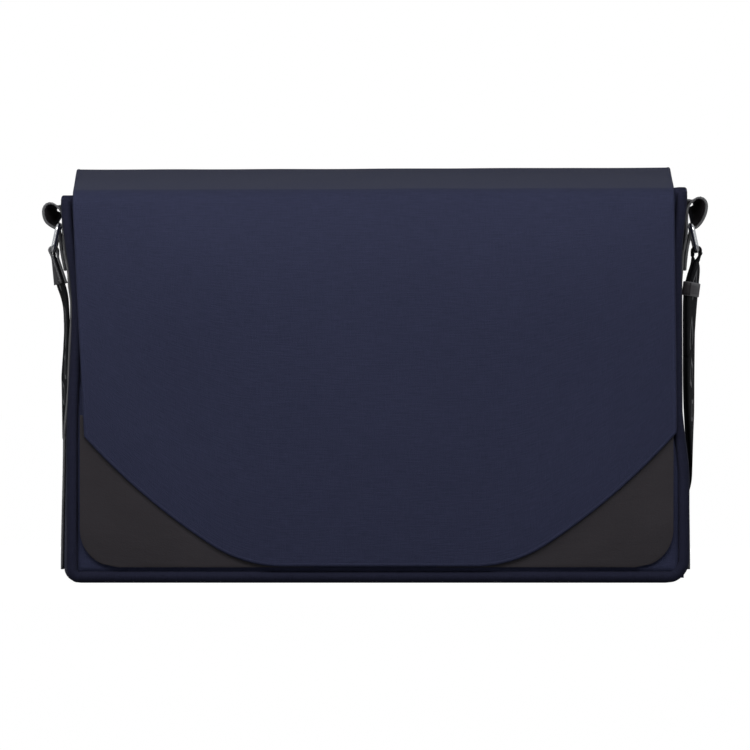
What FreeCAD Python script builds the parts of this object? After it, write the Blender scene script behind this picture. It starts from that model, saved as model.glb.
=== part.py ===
import FreeCAD, Part
import math
import os
import re
import Sketcher

# Messenger-style diaper bag.  +X right, +Y to the back, +Z up, millimetres.
# The origin is the centre of the flat bottom face that the bag rests on.

V = FreeCAD.Vector
doc = FreeCAD.newDocument("DiaperBag")

SIZES = {
    "body_width": 399, "body_depth": 124, "front_height": 247, "rear_height": 261,
    "corner_radius": 10, "shell_fabric": 1.2, "foam_thickness": 4, "lining_fabric": 0.8,
    "board_thickness": 2.4, "layer_gap": 0.2, "part_gap": 0.4,
    "border_width": 10, "border_foot": 9, "border_thickness": 2.4, "border_lift": 0.6,
    "facing_height": 26, "foam_drop": 2,
    "flap_width": 378, "flap_thickness": 3, "flap_fabric": 1, "flap_lining_fabric": 0.6,
    "flap_turn_in": 6, "flap_hem_height": 11, "flap_small_radius": 84, "flap_large_radius": 409,
    "flap_mid_slope": 33, "flap_side_slope": 48, "fold_bead_radius": 2, "fold_gap": 0.3,
    "anchor_height": 28, "anchor_thickness": 2.5, "anchor_width": 372,
    "patch_length": 150, "patch_height": 108, "patch_thickness": 1.4, "patch_corner_radius": 24,
    "side_strap_width": 38, "leather_thickness": 1.8, "side_strap_foot": 8,
    "loop_radius": 4.3, "loop_height": 236, "loop_lap_end": 200, "loop_slope": 25, "loop_bend": 6,
    "ring_wire": 3, "ring_side_play": 2, "ring_pitch": 17, "ring_corner": 3.5, "ring_lean": 12,
    "webbing_width": 38, "webbing_thickness": 1.6, "tab_leather": 1.6, "tab_length": 21,
    "tab_squeeze": 2, "run_clearance": 0.06, "fold_length": 40.5, "fold_squeeze": 3.5,
    "keeper_height": 9, "keeper_drop": 17, "keeper_wall": 1, "keeper_pinch": 0.6,
    "seam_gap": 0.3, "slider_span": 28, "slider_bar": 2.4, "slider_side_gap": 0.6,
    "magnet_radius": 9, "magnet_thickness": 1.2, "magnet_spacing": 210, "magnet_level": 100,
    "bottle_pocket_reach": 70, "bottle_pocket_depth": 84, "bottle_pocket_height": 120,
    "elastic_height": 12, "elastic_thickness": 1,
    "slip_pocket_width": 200, "slip_pocket_height": 130, "slip_pocket_space": 7,
    "slip_pocket_lift": 40,
    "zip_pocket_width": 226, "zip_pocket_height": 140, "zip_pocket_space": 3.4, "zip_length": 180,
    "zip_pocket_top": 228, "zip_pocket_hem": 4,
    "zip_drop": 22, "zip_slot": 14, "zip_tape_thickness": 0.6, "zip_tape_lap": 3,
    "zip_teeth_width": 2.2, "zip_teeth_thickness": 1.6, "zip_gap": 1.1,
    "zip_slider_length": 9, "zip_slider_plate": 0.7, "zip_slider_lap": 1, "zip_post": 2,
    "pull_pin": 0.6, "pull_eye": 1.3, "pull_neck": 3.4, "pull_length": 20, "pull_thickness": 1.56,
    "mat_width": 236, "mat_height": 176, "mat_thickness": 24, "mat_corner_radius": 14,
    "mat_front": 20,
}

sheet = doc.addObject("Spreadsheet::Sheet", "Sizes")
for row, (alias, value) in enumerate(SIZES.items(), start=1):
    sheet.set(f"A{row}", alias)
    sheet.set(f"B{row}", str(value))
    sheet.setAlias(f"B{row}", alias)
doc.recompute()

# Sizes and places that follow from the driving dimensions.
LAYOUT = {
    "half_width": "body_width / 2",
    "half_depth": "body_depth / 2",
    "above_all": "rear_height + corner_radius",
    "mouth_slope": "(rear_height - front_height) / body_depth",
    "gusset_half_depth": "half_depth - shell_fabric",
    "lining_half_depth": "gusset_half_depth - foam_thickness - 2 * layer_gap",
    "lining_half_width": "half_width - shell_fabric - layer_gap",
    "lining_floor": "shell_fabric + board_thickness + 2 * layer_gap",
    "lining_radius": "corner_radius - shell_fabric - layer_gap",
    "room_half_depth": "lining_half_depth - lining_fabric",
    "room_half_width": "lining_half_width - lining_fabric",
    "room_floor": "lining_floor + lining_fabric",
    "pocket_floor": "room_floor + lining_radius",
    "flap_inner": "half_depth + border_thickness + part_gap",
    "flap_outer": "flap_inner + flap_thickness",
    "fold_lift": "(part_gap + flap_thickness / 2) * sqrt(1 + mouth_slope * mouth_slope)",
    "fold_front_y": "-(flap_inner + flap_thickness / 2)",
    "fold_front_z": "front_height + (half_depth + fold_front_y) * mouth_slope + fold_lift",
    "fold_rear_y": "half_depth + layer_gap + anchor_thickness / 2",
    "fold_rear_z": "front_height + (half_depth + fold_rear_y) * mouth_slope + fold_lift",
    "fold_span": "(fold_rear_y - fold_front_y) * sqrt(1 + mouth_slope * mouth_slope)",
    "fold_reach": "fold_bead_radius + fold_gap",
    "flap_half_width": "flap_width / 2",
    "curve_small_x": "flap_half_width - large_run - small_run",
    "small_run": "flap_small_radius * sin(flap_mid_slope * 1 deg)",
    "large_run": "flap_large_radius * (sin(flap_side_slope * 1 deg) - sin(flap_mid_slope * 1 deg))",
    "curve_small_z": "flap_hem_height + flap_small_radius",
    "curve_mid_x": "curve_small_x + small_run",
    "curve_mid_z": "curve_small_z - flap_small_radius * cos(flap_mid_slope * 1 deg)",
    "curve_large_x": "curve_mid_x - flap_large_radius * sin(flap_mid_slope * 1 deg)",
    "curve_large_z": "curve_mid_z + flap_large_radius * cos(flap_mid_slope * 1 deg)",
    "patch_side": "half_width - border_width - part_gap",
    "patch_low": "border_lift + border_foot + part_gap",
    "strap_face": "half_width + leather_thickness",
    "loop_x": "half_width + leather_thickness / 2 + loop_radius",
    "ring_x": "strap_face + part_gap + ring_wire / 2",
    "ring_z": "loop_height - loop_radius - leather_thickness / 2 - ring_wire / 2",
    "bar_x": "ring_x + ring_pitch * sin(ring_lean * 1 deg)",
    "bar_z": "ring_z - ring_pitch * cos(ring_lean * 1 deg)",
    "zip_level": "zip_pocket_top - zip_drop",
}


def qualified(text):
    """Writes an expression's plain names as references to the sheet or the layout."""
    def place(match):
        word = match.group(0)
        if word in SIZES:
            return "Sizes." + word
        if word in LAYOUT:
            return "Layout." + word
        return word
    return re.sub(r"[a-z_]+", place, str(text))


layout = doc.addObject("App::VarSet", "Layout")
for name in LAYOUT:
    layout.addProperty("App::PropertyFloat", name, "Layout")
for name, text in LAYOUT.items():
    layout.setExpression(name, qualified(text))
doc.recompute()


def value(text):
    """The number that an expression comes to."""
    return float(layout.evalExpression(qualified(text)))


# ---------------------------------------------------------------- PartDesign helpers

def new_body(label, x="0", y="0", z="0", turn=None):
    """A body named for its piece; turn is an expression in degrees about the X axis."""
    body = doc.addObject("PartDesign::Body", label)
    body.Label = label
    for axis, text in (("x", x), ("y", y), ("z", z)):
        body.setExpression(f"Placement.Base.{axis}", qualified(text))
    if turn is not None:
        body.Placement.Rotation = FreeCAD.Rotation(V(1, 0, 0), value(turn))
        body.setExpression("Placement.Rotation.Angle", qualified(f"({turn}) * 1 deg"))
    return body


def arc_between(start, end, radius):
    """The anticlockwise arc from start to end, under half a turn; clockwise if radius < 0."""
    if radius < 0:
        start, end, radius = end, start, -radius
    chord = end - start
    rise = math.sqrt(max(radius ** 2 - chord.Length ** 2 / 4, 0))
    centre = (start + end) / 2 + V(-chord.y, chord.x, 0).normalize() * rise
    first = math.atan2(start.y - centre.y, start.x - centre.x)
    last = math.atan2(end.y - centre.y, end.x - centre.x)
    return Part.ArcOfCircle(Part.Circle(centre, V(0, 0, 1), radius), first, last)


def new_sketch(body, plane, outlines, offset="0"):
    """A fully constrained sketch on one of the body's planes.

    Each outline is a closed, anticlockwise list of corners (x, y), (x, y, radius) or
    (x, y, radius, "hollow"): with a radius an arc runs to the next corner, and a hollow arc
    curves inward.  A circle is ("circle", x, y, radius).
    """
    sketch = body.newObject("Sketcher::SketchObject", body.Label + "_sketch")
    support = [f for f in body.Origin.OriginFeatures if f.Role == plane + "_Plane"][0]
    sketch.AttachmentSupport = [(support, "")]
    sketch.MapMode = "FlatFace"
    sketch.setExpression("AttachmentOffset.Base.z", qualified(offset))

    def bind(kind, geometry, point, text):
        items = (geometry,) if point is None else (geometry, point)
        index = sketch.addConstraint(Sketcher.Constraint(kind, *items, value(text)))
        sketch.setExpression(f"Constraints[{index}]", qualified(text))

    for outline in outlines:
        first = sketch.GeometryCount
        if outline[0] == "circle":
            _, x, y, radius = outline
            centre = V(value(x), value(y), 0)
            sketch.addGeometry(Part.Circle(centre, V(0, 0, 1), value(radius)))
            bind("DistanceX", first, 3, x)
            bind("DistanceY", first, 3, y)
            bind("Radius", first, None, radius)
            continue
        points = [V(value(corner[0]), value(corner[1]), 0) for corner in outline]
        for start, end, corner in zip(points, points[1:] + points[:1], outline):
            if len(corner) > 2:
                sign = -1 if len(corner) == 4 else 1
                sketch.addGeometry(arc_between(start, end, sign * value(corner[2])))
            else:
                sketch.addGeometry(Part.LineSegment(start, end))
        begins = [2 if len(corner) == 4 else 1 for corner in outline]
        for i, corner in enumerate(outline):
            k = (i + 1) % len(outline)
            sketch.addConstraint(Sketcher.Constraint(
                "Coincident", first + i, 3 - begins[i], first + k, begins[k]))
            bind("DistanceX", first + i, begins[i], corner[0])
            bind("DistanceY", first + i, begins[i], corner[1])
            if len(corner) > 2:
                bind("Radius", first + i, None, corner[2])
    return sketch


def add_pad(body, plane, outlines, length, offset="0"):
    """Pads towards +X from a YZ sketch, +Y from an XZ sketch, +Z from an XY sketch."""
    feature = body.newObject("PartDesign::Pad", body.Label + "_pad")
    feature.Profile = new_sketch(body, plane, outlines, offset)
    feature.Reversed = plane == "XZ"
    feature.setExpression("Length", qualified(length))
    return feature


def add_pocket(body, plane, outlines, length, offset="0"):
    """Cuts towards +X, +Y or +Z, as add_pad pads."""
    feature = body.newObject("PartDesign::Pocket", body.Label + "_pocket")
    feature.Profile = new_sketch(body, plane, outlines, offset)
    feature.Reversed = plane != "XZ"
    feature.setExpression("Length", qualified(length))
    return feature


def rectangle(x0, y0, x1, y1):
    return [(x0, y0), (x1, y0), (x1, y1), (x0, y1)]


def cup(half, low, high, radius):
    """A rectangle whose two lower corners are rounded, in the XZ plane."""
    return [
        (f"-({half})", high), (f"-({half})", f"{low} + {radius}", radius),
        (f"-({half}) + {radius}", low), (f"{half} - ({radius})", low, radius),
        (half, f"{low} + {radius}"), (half, high),
    ]


def mouth_level(y, drop="0"):
    """The height of the sloping mouth line at a depth."""
    return f"front_height + (half_depth + {y}) * mouth_slope - ({drop})"


def side_outline(half, low, drop):
    """The bag seen from its side: level bottom, sloping mouth line; YZ plane."""
    return [(f"-({half})", low), (half, low), (half, mouth_level(half, drop)),
            (f"-({half})", mouth_level(f"-({half})", drop))]


def pieces_box(label, length, width, height, x, y, z):
    """A Part::Box bound to the sizes."""
    box = doc.addObject("Part::Box", label)
    box.Label = label
    for prop, text in (("Length", length), ("Width", width), ("Height", height)):
        box.setExpression(prop, qualified(text))
    for axis, text in (("x", x), ("y", y), ("z", z)):
        box.setExpression(f"Placement.Base.{axis}", qualified(text))
    return box


# ---------------------------------------------------------------- shell of the bag

def make_shell():
    """Panels, gussets, borders, foams, base board, lining and facing."""
    front = new_body("front_panel", y="-half_depth")
    add_pad(front, "XZ", [cup("half_width", "0", "front_height", "corner_radius")], "shell_fabric")
    back = new_body("back_panel", y="half_depth - shell_fabric")
    add_pad(back, "XZ", [cup("half_width", "0", "rear_height", "corner_radius")], "shell_fabric")

    for label, y, top in (
        ("front_border", "-(half_depth + border_thickness)", "front_height"),
        ("back_border", "half_depth", "rear_height - anchor_height - part_gap"),
    ):
        border = new_body(label, y=y)
        inner = "(half_width - border_width)"
        low = "(border_lift + border_foot)"
        radius = "(corner_radius / 2)"
        outer_radius = "(corner_radius - border_lift)"
        outline = [
            ("-half_width", top), ("-half_width", f"border_lift + {outer_radius}", outer_radius),
            (f"-half_width + {outer_radius}", "border_lift"),
            (f"half_width - {outer_radius}", "border_lift", outer_radius),
            ("half_width", f"border_lift + {outer_radius}"), ("half_width", top),
            (inner, top), (inner, f"{low} + {radius}", radius, "hollow"),
            (f"{inner} - {radius}", low), (f"-{inner} + {radius}", low, radius, "hollow"),
            (f"-{inner}", f"{low} + {radius}"), (f"-{inner}", top),
        ]
        add_pad(border, "XZ", [outline], "border_thickness")

    bottom = new_body("bottom_gusset", y="-gusset_half_depth")
    add_pad(bottom, "XZ", [cup("half_width", "0", "corner_radius", "corner_radius")[1:5]],
            "2 * gusset_half_depth")
    inner = cup("half_width - shell_fabric", "shell_fabric", "2 * corner_radius",
                "(corner_radius - shell_fabric)")
    add_pocket(bottom, "XZ", [inner], "2 * gusset_half_depth")

    for side, word in ((-1, "left"), (1, "right")):
        start = "half_width - shell_fabric" if side > 0 else "-half_width"
        gusset = new_body("side_gusset_" + word, x=start)
        add_pad(gusset, "YZ", [side_outline("gusset_half_depth", "corner_radius", "0")],
                "shell_fabric")

    foam_inset = "(shell_fabric + layer_gap)"
    for label, y, top in (
        ("front_foam", "-(gusset_half_depth - layer_gap / 2)", "front_height"),
        ("back_foam", "gusset_half_depth - layer_gap / 2 - foam_thickness", "rear_height"),
    ):
        foam = new_body(label, y=y)
        outline = cup(f"half_width - {foam_inset}", foam_inset, f"{top} - foam_drop",
                      f"(corner_radius - {foam_inset})")
        add_pad(foam, "XZ", [outline], "foam_thickness")

    board = new_body("base_board", z="shell_fabric + layer_gap")
    half_x = "(half_width - corner_radius)"
    add_pad(board, "XY", [rectangle("-" + half_x, "-lining_half_depth", half_x,
                                    "lining_half_depth")], "board_thickness")

    lining = new_body("lining", y="-lining_half_depth")
    add_pad(lining, "XZ", [cup("lining_half_width", "lining_floor", "rear_height",
                               "lining_radius")], "2 * lining_half_depth")
    room = cup("room_half_width", "room_floor", "above_all", "(lining_radius - lining_fabric)")
    add_pocket(lining, "XZ", [room], "2 * room_half_depth", offset="-lining_fabric")
    front, rear = "(-layer_gap)", "(2 * lining_half_depth + layer_gap)"
    above = [(front, mouth_level(f"{front} - lining_half_depth", "facing_height")),
             (rear, mouth_level(f"{rear} - lining_half_depth", "facing_height")),
             (rear, "above_all"), (front, "above_all")]
    add_pocket(lining, "YZ", [above], "2 * half_width", offset="-half_width")

    facing = new_body("mouth_facing", x="-lining_half_width")
    add_pad(facing, "YZ", [[
        ("-lining_half_depth", mouth_level("-lining_half_depth", "facing_height")),
        ("lining_half_depth", mouth_level("lining_half_depth", "facing_height")),
        ("lining_half_depth", mouth_level("lining_half_depth")),
        ("-lining_half_depth", mouth_level("-lining_half_depth"))]], "2 * lining_half_width")
    add_pocket(facing, "XY", [rectangle("lining_fabric", "-room_half_depth",
                                        "2 * lining_half_width - lining_fabric",
                                        "room_half_depth")], "above_all")


# ---------------------------------------------------------------- flap

def flap_outline(inset="0"):
    """The flap's front part, its two lower corners cut away in long curves."""
    side = f"(flap_half_width - ({inset}))"
    large = f"(flap_large_radius - ({inset}))"
    small = f"(flap_small_radius - ({inset}))"
    side_z = f"curve_large_z - sqrt({large} ^ 2 - ({side} - curve_large_x) ^ 2)"
    mid_x = f"(curve_large_x + {large} * sin(flap_mid_slope * 1 deg))"
    mid_z = f"curve_large_z - {large} * cos(flap_mid_slope * 1 deg)"
    low = f"curve_small_z - {small}"
    top = f"fold_front_z - fold_reach - ({inset})"
    return [
        (f"-{side}", top), (f"-{side}", side_z, large), (f"-{mid_x}", mid_z, small),
        ("-curve_small_x", low), ("curve_small_x", low, small), (mid_x, mid_z, large),
        (side, side_z), (side, top),
    ]


def make_flap():
    """Front and top parts of the flap, each an outer tray with stiffener and lining in it."""
    depth = "(flap_thickness - flap_fabric)"
    stiff = f"({depth} - flap_lining_fabric)"
    outer = new_body("flap_front_outer", y="-flap_outer")
    add_pad(outer, "XZ", [flap_outline()], "flap_thickness")
    add_pocket(outer, "XZ", [flap_outline("flap_turn_in")], depth, offset="-flap_fabric")
    stiffener = new_body("flap_front_stiffener", y="-flap_outer + flap_fabric")
    add_pad(stiffener, "XZ", [flap_outline("flap_turn_in + layer_gap")], stiff)
    lining = new_body("flap_front_lining", y="-flap_inner - flap_lining_fabric")
    add_pad(lining, "XZ", [flap_outline("flap_turn_in + layer_gap")], "flap_lining_fabric")

    # The top part lies along the mouth's slope, in the frame of the rear fold line.
    place = {"y": "fold_rear_y", "z": "fold_rear_z", "turn": "atan(mouth_slope) / 1 deg"}
    half = "flap_thickness / 2"
    outer = new_body("flap_top_outer", **place)
    add_pad(outer, "XY", [rectangle("-flap_half_width", "-fold_span", "flap_half_width",
                                    "-fold_reach")], "flap_thickness", offset="-" + half)
    add_pad(outer, "YZ", [("circle", "-fold_span", "0", "fold_bead_radius")], "flap_width",
            offset="-flap_half_width")
    inset = "(flap_turn_in)"
    add_pocket(outer, "XY", [rectangle(f"-flap_half_width + {inset}", f"-fold_span + {inset}",
                                       f"flap_half_width - {inset}", f"-fold_reach - {inset}")],
               depth, offset="-" + half)
    inset = "(flap_turn_in + layer_gap)"
    sheet_outline = [rectangle(f"-flap_half_width + {inset}", f"-fold_span + {inset}",
                               f"flap_half_width - {inset}", f"-fold_reach - {inset}")]
    stiffener = new_body("flap_top_stiffener", **place)
    add_pad(stiffener, "XY", sheet_outline, stiff, offset=f"-{half} + flap_lining_fabric")
    lining = new_body("flap_top_lining", **place)
    add_pad(lining, "XY", sheet_outline, "flap_lining_fabric", offset="-" + half)

    anchor = new_body("flap_anchor", y="fold_rear_y", z="fold_rear_z")
    add_pad(anchor, "YZ", [rectangle("-anchor_thickness / 2",
                                     "rear_height - anchor_height - fold_rear_z",
                                     "anchor_thickness / 2", "0")],
            "anchor_width", offset="-anchor_width / 2")
    add_pad(anchor, "YZ", [("circle", "0", "0", "fold_bead_radius")], "anchor_width",
            offset="-anchor_width / 2")

    for label, y in (("body_magnets", "-half_depth - magnet_thickness"),
                     ("flap_magnets", "-flap_inner")):
        pair = []
        for side in (-1, 1):
            disc = doc.addObject("Part::Cylinder", f"{label}_{'left' if side < 0 else 'right'}")
            disc.setExpression("Radius", qualified("magnet_radius"))
            disc.setExpression("Height", qualified("magnet_thickness"))
            disc.Placement.Rotation = FreeCAD.Rotation(V(1, 0, 0), -90)
            disc.setExpression("Placement.Base.x", qualified(f"{side} * magnet_spacing / 2"))
            disc.setExpression("Placement.Base.y", qualified(y))
            disc.setExpression("Placement.Base.z", qualified("magnet_level"))
            pair.append(disc)
        group = doc.addObject("Part::Compound", label)
        group.Label = label
        group.Links = pair


# ---------------------------------------------------------------- leather patches

def make_patches():
    """The two corner patches on the front panel."""
    for side, word in ((-1, "left"), (1, "right")):
        patch = new_body("corner_patch_" + word, y="-half_depth - patch_thickness")
        corner = "patch_corner_radius"
        outline = [
            ("patch_side", "patch_height"), ("patch_side - patch_length", "patch_low"),
            (f"patch_side - {corner}", "patch_low", corner), ("patch_side", f"patch_low + {corner}"),
        ]
        if side < 0:
            flat = [(f"-({x[0]})", x[1]) for x in outline]
            outline = [flat[0], (*flat[3], corner), flat[2], flat[1]]
        add_pad(patch, "XZ", [outline], "patch_thickness")


# ---------------------------------------------------------------- bands of leather and webbing

def line_piece(start, end, thickness, width):
    """A straight stretch of band in the XZ plane, centred on Y."""
    along = (end - start).normalize()
    across = V(-along.z, 0, along.x) * (thickness / 2)
    corners = [start + across, end + across, end - across, start - across]
    face = Part.Face(Part.makePolygon([p - V(0, width / 2, 0) for p in corners + corners[:1]]))
    return face.extrude(V(0, width, 0))


def arc_piece(centre, radius, start, end, thickness, width):
    """A round stretch of band about a Y axis, from angle start to end in degrees."""
    outer, inner = radius + thickness / 2, radius - thickness / 2

    def at(size, angle):
        turn = math.radians(angle)
        return centre + V(size * math.cos(turn), -width / 2, size * math.sin(turn))

    middle = (start + end) / 2
    edges = [
        Part.Arc(at(outer, start), at(outer, middle), at(outer, end)).toShape(),
        Part.LineSegment(at(outer, end), at(inner, end)).toShape(),
        Part.Arc(at(inner, end), at(inner, middle), at(inner, start)).toShape(),
        Part.LineSegment(at(inner, start), at(outer, start)).toShape(),
    ]
    return Part.Face(Part.Wire(edges)).extrude(V(0, width, 0))


def joined(pieces):
    return pieces[0].multiFuse(pieces[1:]).removeSplitter()


def mirrored_for(side, shape):
    return shape if side > 0 else shape.mirror(V(0, 0, 0), V(1, 0, 0))


def add_feature(label, shape, placement=None):
    feature = doc.addObject("Part::Feature", label)
    feature.Label = label
    feature.Shape = shape
    if placement is not None:
        feature.Placement = placement
    return feature


def side_strap_shape():
    """A strip up the gusset that turns outward at the top into a teardrop loop."""
    thick, width = value("leather_thickness"), value("side_strap_width")
    radius = value("loop_radius")
    centre = V(value("loop_x"), 0, value("loop_height"))
    slope = value("loop_slope")
    inner_x = value("half_width + leather_thickness / 2")
    lap_x = inner_x + thick + value("layer_gap") / 2
    turn = math.radians(slope)
    leave = centre + V(radius * math.cos(turn), 0, -radius * math.sin(turn))
    bend = value("loop_bend")
    arc_run = bend * (1 - math.cos(turn))
    fall = (leave.x - lap_x - arc_run) / math.tan(turn)
    meet = V(lap_x + arc_run, 0, leave.z - fall)
    bend_centre = V(lap_x + bend, 0, meet.z - bend * math.sin(turn))
    return joined([
        line_piece(V(inner_x, 0, value("side_strap_foot")), V(inner_x, 0, centre.z), thick, width),
        arc_piece(centre, radius, -slope, 180, thick, width),
        line_piece(leave, meet, thick, width),
        arc_piece(bend_centre, bend, 180 - slope, 180, thick, width),
        line_piece(V(lap_x, 0, bend_centre.z), V(lap_x, 0, value("loop_lap_end")), thick, width),
    ])


def wire_frame(wire, half, drop, corner):
    """A rounded rectangle of round wire: one bar on the Y axis, the other drop below it."""
    section = Part.Wire(Part.makeCircle(wire, V(0, 0, 0), V(0, 1, 0)))
    sides = [
        (V(0, half - corner, 0), V(0, corner - half, 0)),
        (V(0, -half, -corner), V(0, -half, corner - drop)),
        (V(0, corner - half, -drop), V(0, half - corner, -drop)),
        (V(0, half, corner - drop), V(0, half, -corner)),
    ]
    edges = []
    for i, (start, end) in enumerate(sides):
        edges.append(Part.LineSegment(start, end).toShape())
        begin = sides[(i + 1) % 4][0]
        centre = V(0, math.copysign(half - corner, end.y), -corner if i in (0, 3) else corner - drop)
        out = ((end + begin) / 2 - centre).normalize()
        edges.append(Part.Arc(end, centre + out * corner, begin).toShape())
    return Part.Wire(edges).makePipeShell([section], True, True)


def ring_shape():
    """The rectangular ring, hanging from its top bar, which lies on the Y axis."""
    wire = value("ring_wire") / 2
    half = value("webbing_width / 2 + ring_side_play") + wire
    return wire_frame(wire, half, value("ring_pitch"), value("ring_corner"))


def folded_shape(thickness, length, squeeze):
    """A band folded over the Y axis, its two ends hanging; squeeze leans the outer end in."""
    width, thickness = value("webbing_width"), value(thickness)
    length, squeeze = value(length), value(squeeze)
    radius = value("ring_wire / 2 + run_clearance") + thickness / 2
    lean = math.radians(squeeze)
    leave = V(radius * math.cos(lean), 0, -radius * math.sin(lean))
    down = V(-math.sin(lean), 0, -math.cos(lean))
    return joined([
        line_piece(V(-radius, 0, -length), V(-radius, 0, 0), thickness, width),
        arc_piece(V(0, 0, 0), radius, -squeeze, 180, thickness, width),
        line_piece(leave, leave + down * length, thickness, width),
    ])


SLIDER_TILT = 3.7        # degrees; the slider rides up on the doubled side
SLIDER_AT = (-20, 122, 4.3)
MIDDLE_BAR_SHARE = 0.95  # the slider's middle bar is a little thinner than its frame

# The shoulder strap's route, chosen by hand: (x, y, z, lean), with lean the angle in degrees by
# which the band's width is turned up from level.  It leaves the left strap end, slants back down
# the gusset, rounds the back corner and lies on the floor behind the bag; then the same up the
# right side.  Degree-2 splines follow these points.
STRAP_LEFT = [
    (-204.3, 0, 170, 0), (-204.3, 0, 159, 0), (-204.1, 8, 145, 34), (-203.9, 26, 131, 52),
    (-203.8, 46, 121, 62), (-203.4, 66, 113, 64), (-202.6, 82, 106, 62), (-196, 97, 97, 56),
    (-180, 108, 82, 46), (-160, 116, 60, 32), (-138, 121, 36, 18), (-114, 122, 14, 6),
    (-92, 122, 3.4, 0),
]
STRAP_FLOOR = [
    (-76, 122, 1.0, 0), (-58, 122, 1.0, 0), (-46, 122, 1.0, 0), (-36, 122, 1.0, 0),
    (-29, 122, 1.6, 0), (-24, 122, 8.4, 0), (-16, 122, 8.4, 0), (-11, 122, 3.1, 0),
    (-4, 122, 2.9, 0), (8, 122, 2.9, 0), (24, 122, 2.9, 0), (42, 122, 2.9, 0),
]
STRAP_RIGHT = [
    (62, 122, 2.9, 0), (84, 122, 3.0, 0), (106, 121.5, 5.5, 2), (128, 120, 13, 8),
    (150, 117, 25, 18), (172, 111, 40, 28), (189, 103, 53, 36), (199.5, 93, 64, 41),
    (203.4, 79, 76, 43), (203.9, 60, 91, 42), (204.0, 40, 107, 41), (204.1, 22, 123, 36),
    (204.2, 8, 141, 22), (204.3, 0, 158, 0), (204.3, 0, 171.8, 0),
]


DRAWN_BAR = V(206.73, 0, 212.67)  # where the ring's bottom bar and the
DRAWN_REAR = 62.0               # back panel's face were when the route was chosen
FLOOR_ZONE = 16.0               # below this height the route keeps its heights


def placed(point):
    """A route point, carried along when the bag's width, depth or height changes."""
    x, y, z = point[:3]
    x *= value("bar_x") / DRAWN_BAR.x
    y *= value("half_depth") / DRAWN_REAR
    if z > FLOOR_ZONE:
        z = FLOOR_ZONE + (z - FLOOR_ZONE) * ((value("bar_z") - FLOOR_ZONE)
                                             / (DRAWN_BAR.z - FLOOR_ZONE))
    return V(x, y, z)


def band_frames(route, per_point):
    """Positions, width directions and normals along the smooth line of a route."""
    line = Part.BSplineCurve()
    line.buildFromPoles([placed(p) for p in route], False, 2)
    turn = Part.BSplineCurve()
    turn.buildFromPoles([V(p[3], i, 0) for i, p in enumerate(route)], False, 2)
    count = per_point * (len(route) - 1)
    frames = []
    for i in range(count + 1):
        at = i / count
        along = V(*line.tangent(at)[0]).normalize()
        lean = math.radians(turn.value(at).x)
        wide = V(0, math.cos(lean), math.sin(lean))
        wide = (wide - along * wide.dot(along)).normalize()
        frames.append((line.value(at), wide, along.cross(wide)))
    return frames


def band_solid(frames, shift=0.0):
    """A closed solid of flat facets round a band's frames, moved by shift along its normal."""
    half_w, half_t = value("webbing_width") / 2, value("webbing_thickness") / 2
    rings = []
    for at, wide, normal in frames:
        centre = at + normal * shift
        rings.append([centre + wide * (a * half_w) + normal * (b * half_t)
                      for a, b in ((1, 1), (-1, 1), (-1, -1), (1, -1))])
    faces = []

    def facet(*corners):
        faces.append(Part.Face(Part.makePolygon([*corners, corners[0]])))

    for now, after in zip(rings, rings[1:]):
        for i in range(4):
            k = (i + 1) % 4
            facet(now[i], now[k], after[k])
            facet(now[i], after[k], after[i])
    for end in (rings[0], rings[-1]):
        facet(end[0], end[1], end[2])
        facet(end[0], end[2], end[3])
    solid = Part.makeSolid(Part.makeShell(faces))
    if solid.Volume < 0:
        solid.reverse()
    return solid


def ring_placement(side):
    """The ring hangs from its top bar in the wedge of the loop, leaning outward."""
    turn = FreeCAD.Rotation(V(0, 1, 0), -side * value("ring_lean"))
    return FreeCAD.Placement(V(side * value("ring_x"), 0, value("ring_z")), turn)


def make_side_fittings():
    """Side straps, rings and the strap ends that hang on the rings."""
    strap = side_strap_shape()
    ring = ring_shape()
    tab = folded_shape("tab_leather", "tab_length", "tab_squeeze")
    fold = folded_shape("webbing_thickness", "fold_length", "fold_squeeze")
    bar = V(value("bar_x"), 0, value("bar_z"))
    for side, word in ((-1, "left"), (1, "right")):
        add_feature("side_strap_" + word, mirrored_for(side, strap))
        add_feature("ring_" + word, ring, ring_placement(side))
    add_feature("strap_tab_left", mirrored_for(-1, tab), FreeCAD.Placement(
        V(-bar.x, 0, bar.z), FreeCAD.Rotation()))
    add_feature("strap_fold_right", fold, FreeCAD.Placement(bar, FreeCAD.Rotation()))

    # The webbing's plain end is sewn in the left tab.
    seam = value("seam_gap")
    mouth = V(-bar.x, 0, bar.z - value("tab_length") - seam)
    size = (value("webbing_thickness"), value("webbing_width"))
    add_feature("strap_webbing_left", joined([
        line_piece(V(-bar.x, 0, bar.z - value("ring_wire") - seam), mouth, *size),
        line_piece(mouth, placed(STRAP_LEFT[0]) + V(0, 0, seam), *size),
    ]))

    # A keeper holds the two layers of the fold together.
    run, wall, pinch = value("layer_gap"), value("keeper_wall"), value("keeper_pinch")
    radius = value("ring_wire / 2 + run_clearance + webbing_thickness")
    reach = value("webbing_width") / 2 + run
    height, level = value("keeper_height"), -value("keeper_drop")
    base = V(-radius - run, -reach, level - height)
    inside = Part.makeBox(2 * (radius + run) - pinch, 2 * reach, height, base)
    outside = Part.makeBox(2 * (radius + run + wall) - pinch, 2 * (reach + wall), height,
                           base - V(wall, wall, 0))
    add_feature("strap_keeper_right", outside.cut(inside),
                FreeCAD.Placement(bar, FreeCAD.Rotation()))


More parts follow.
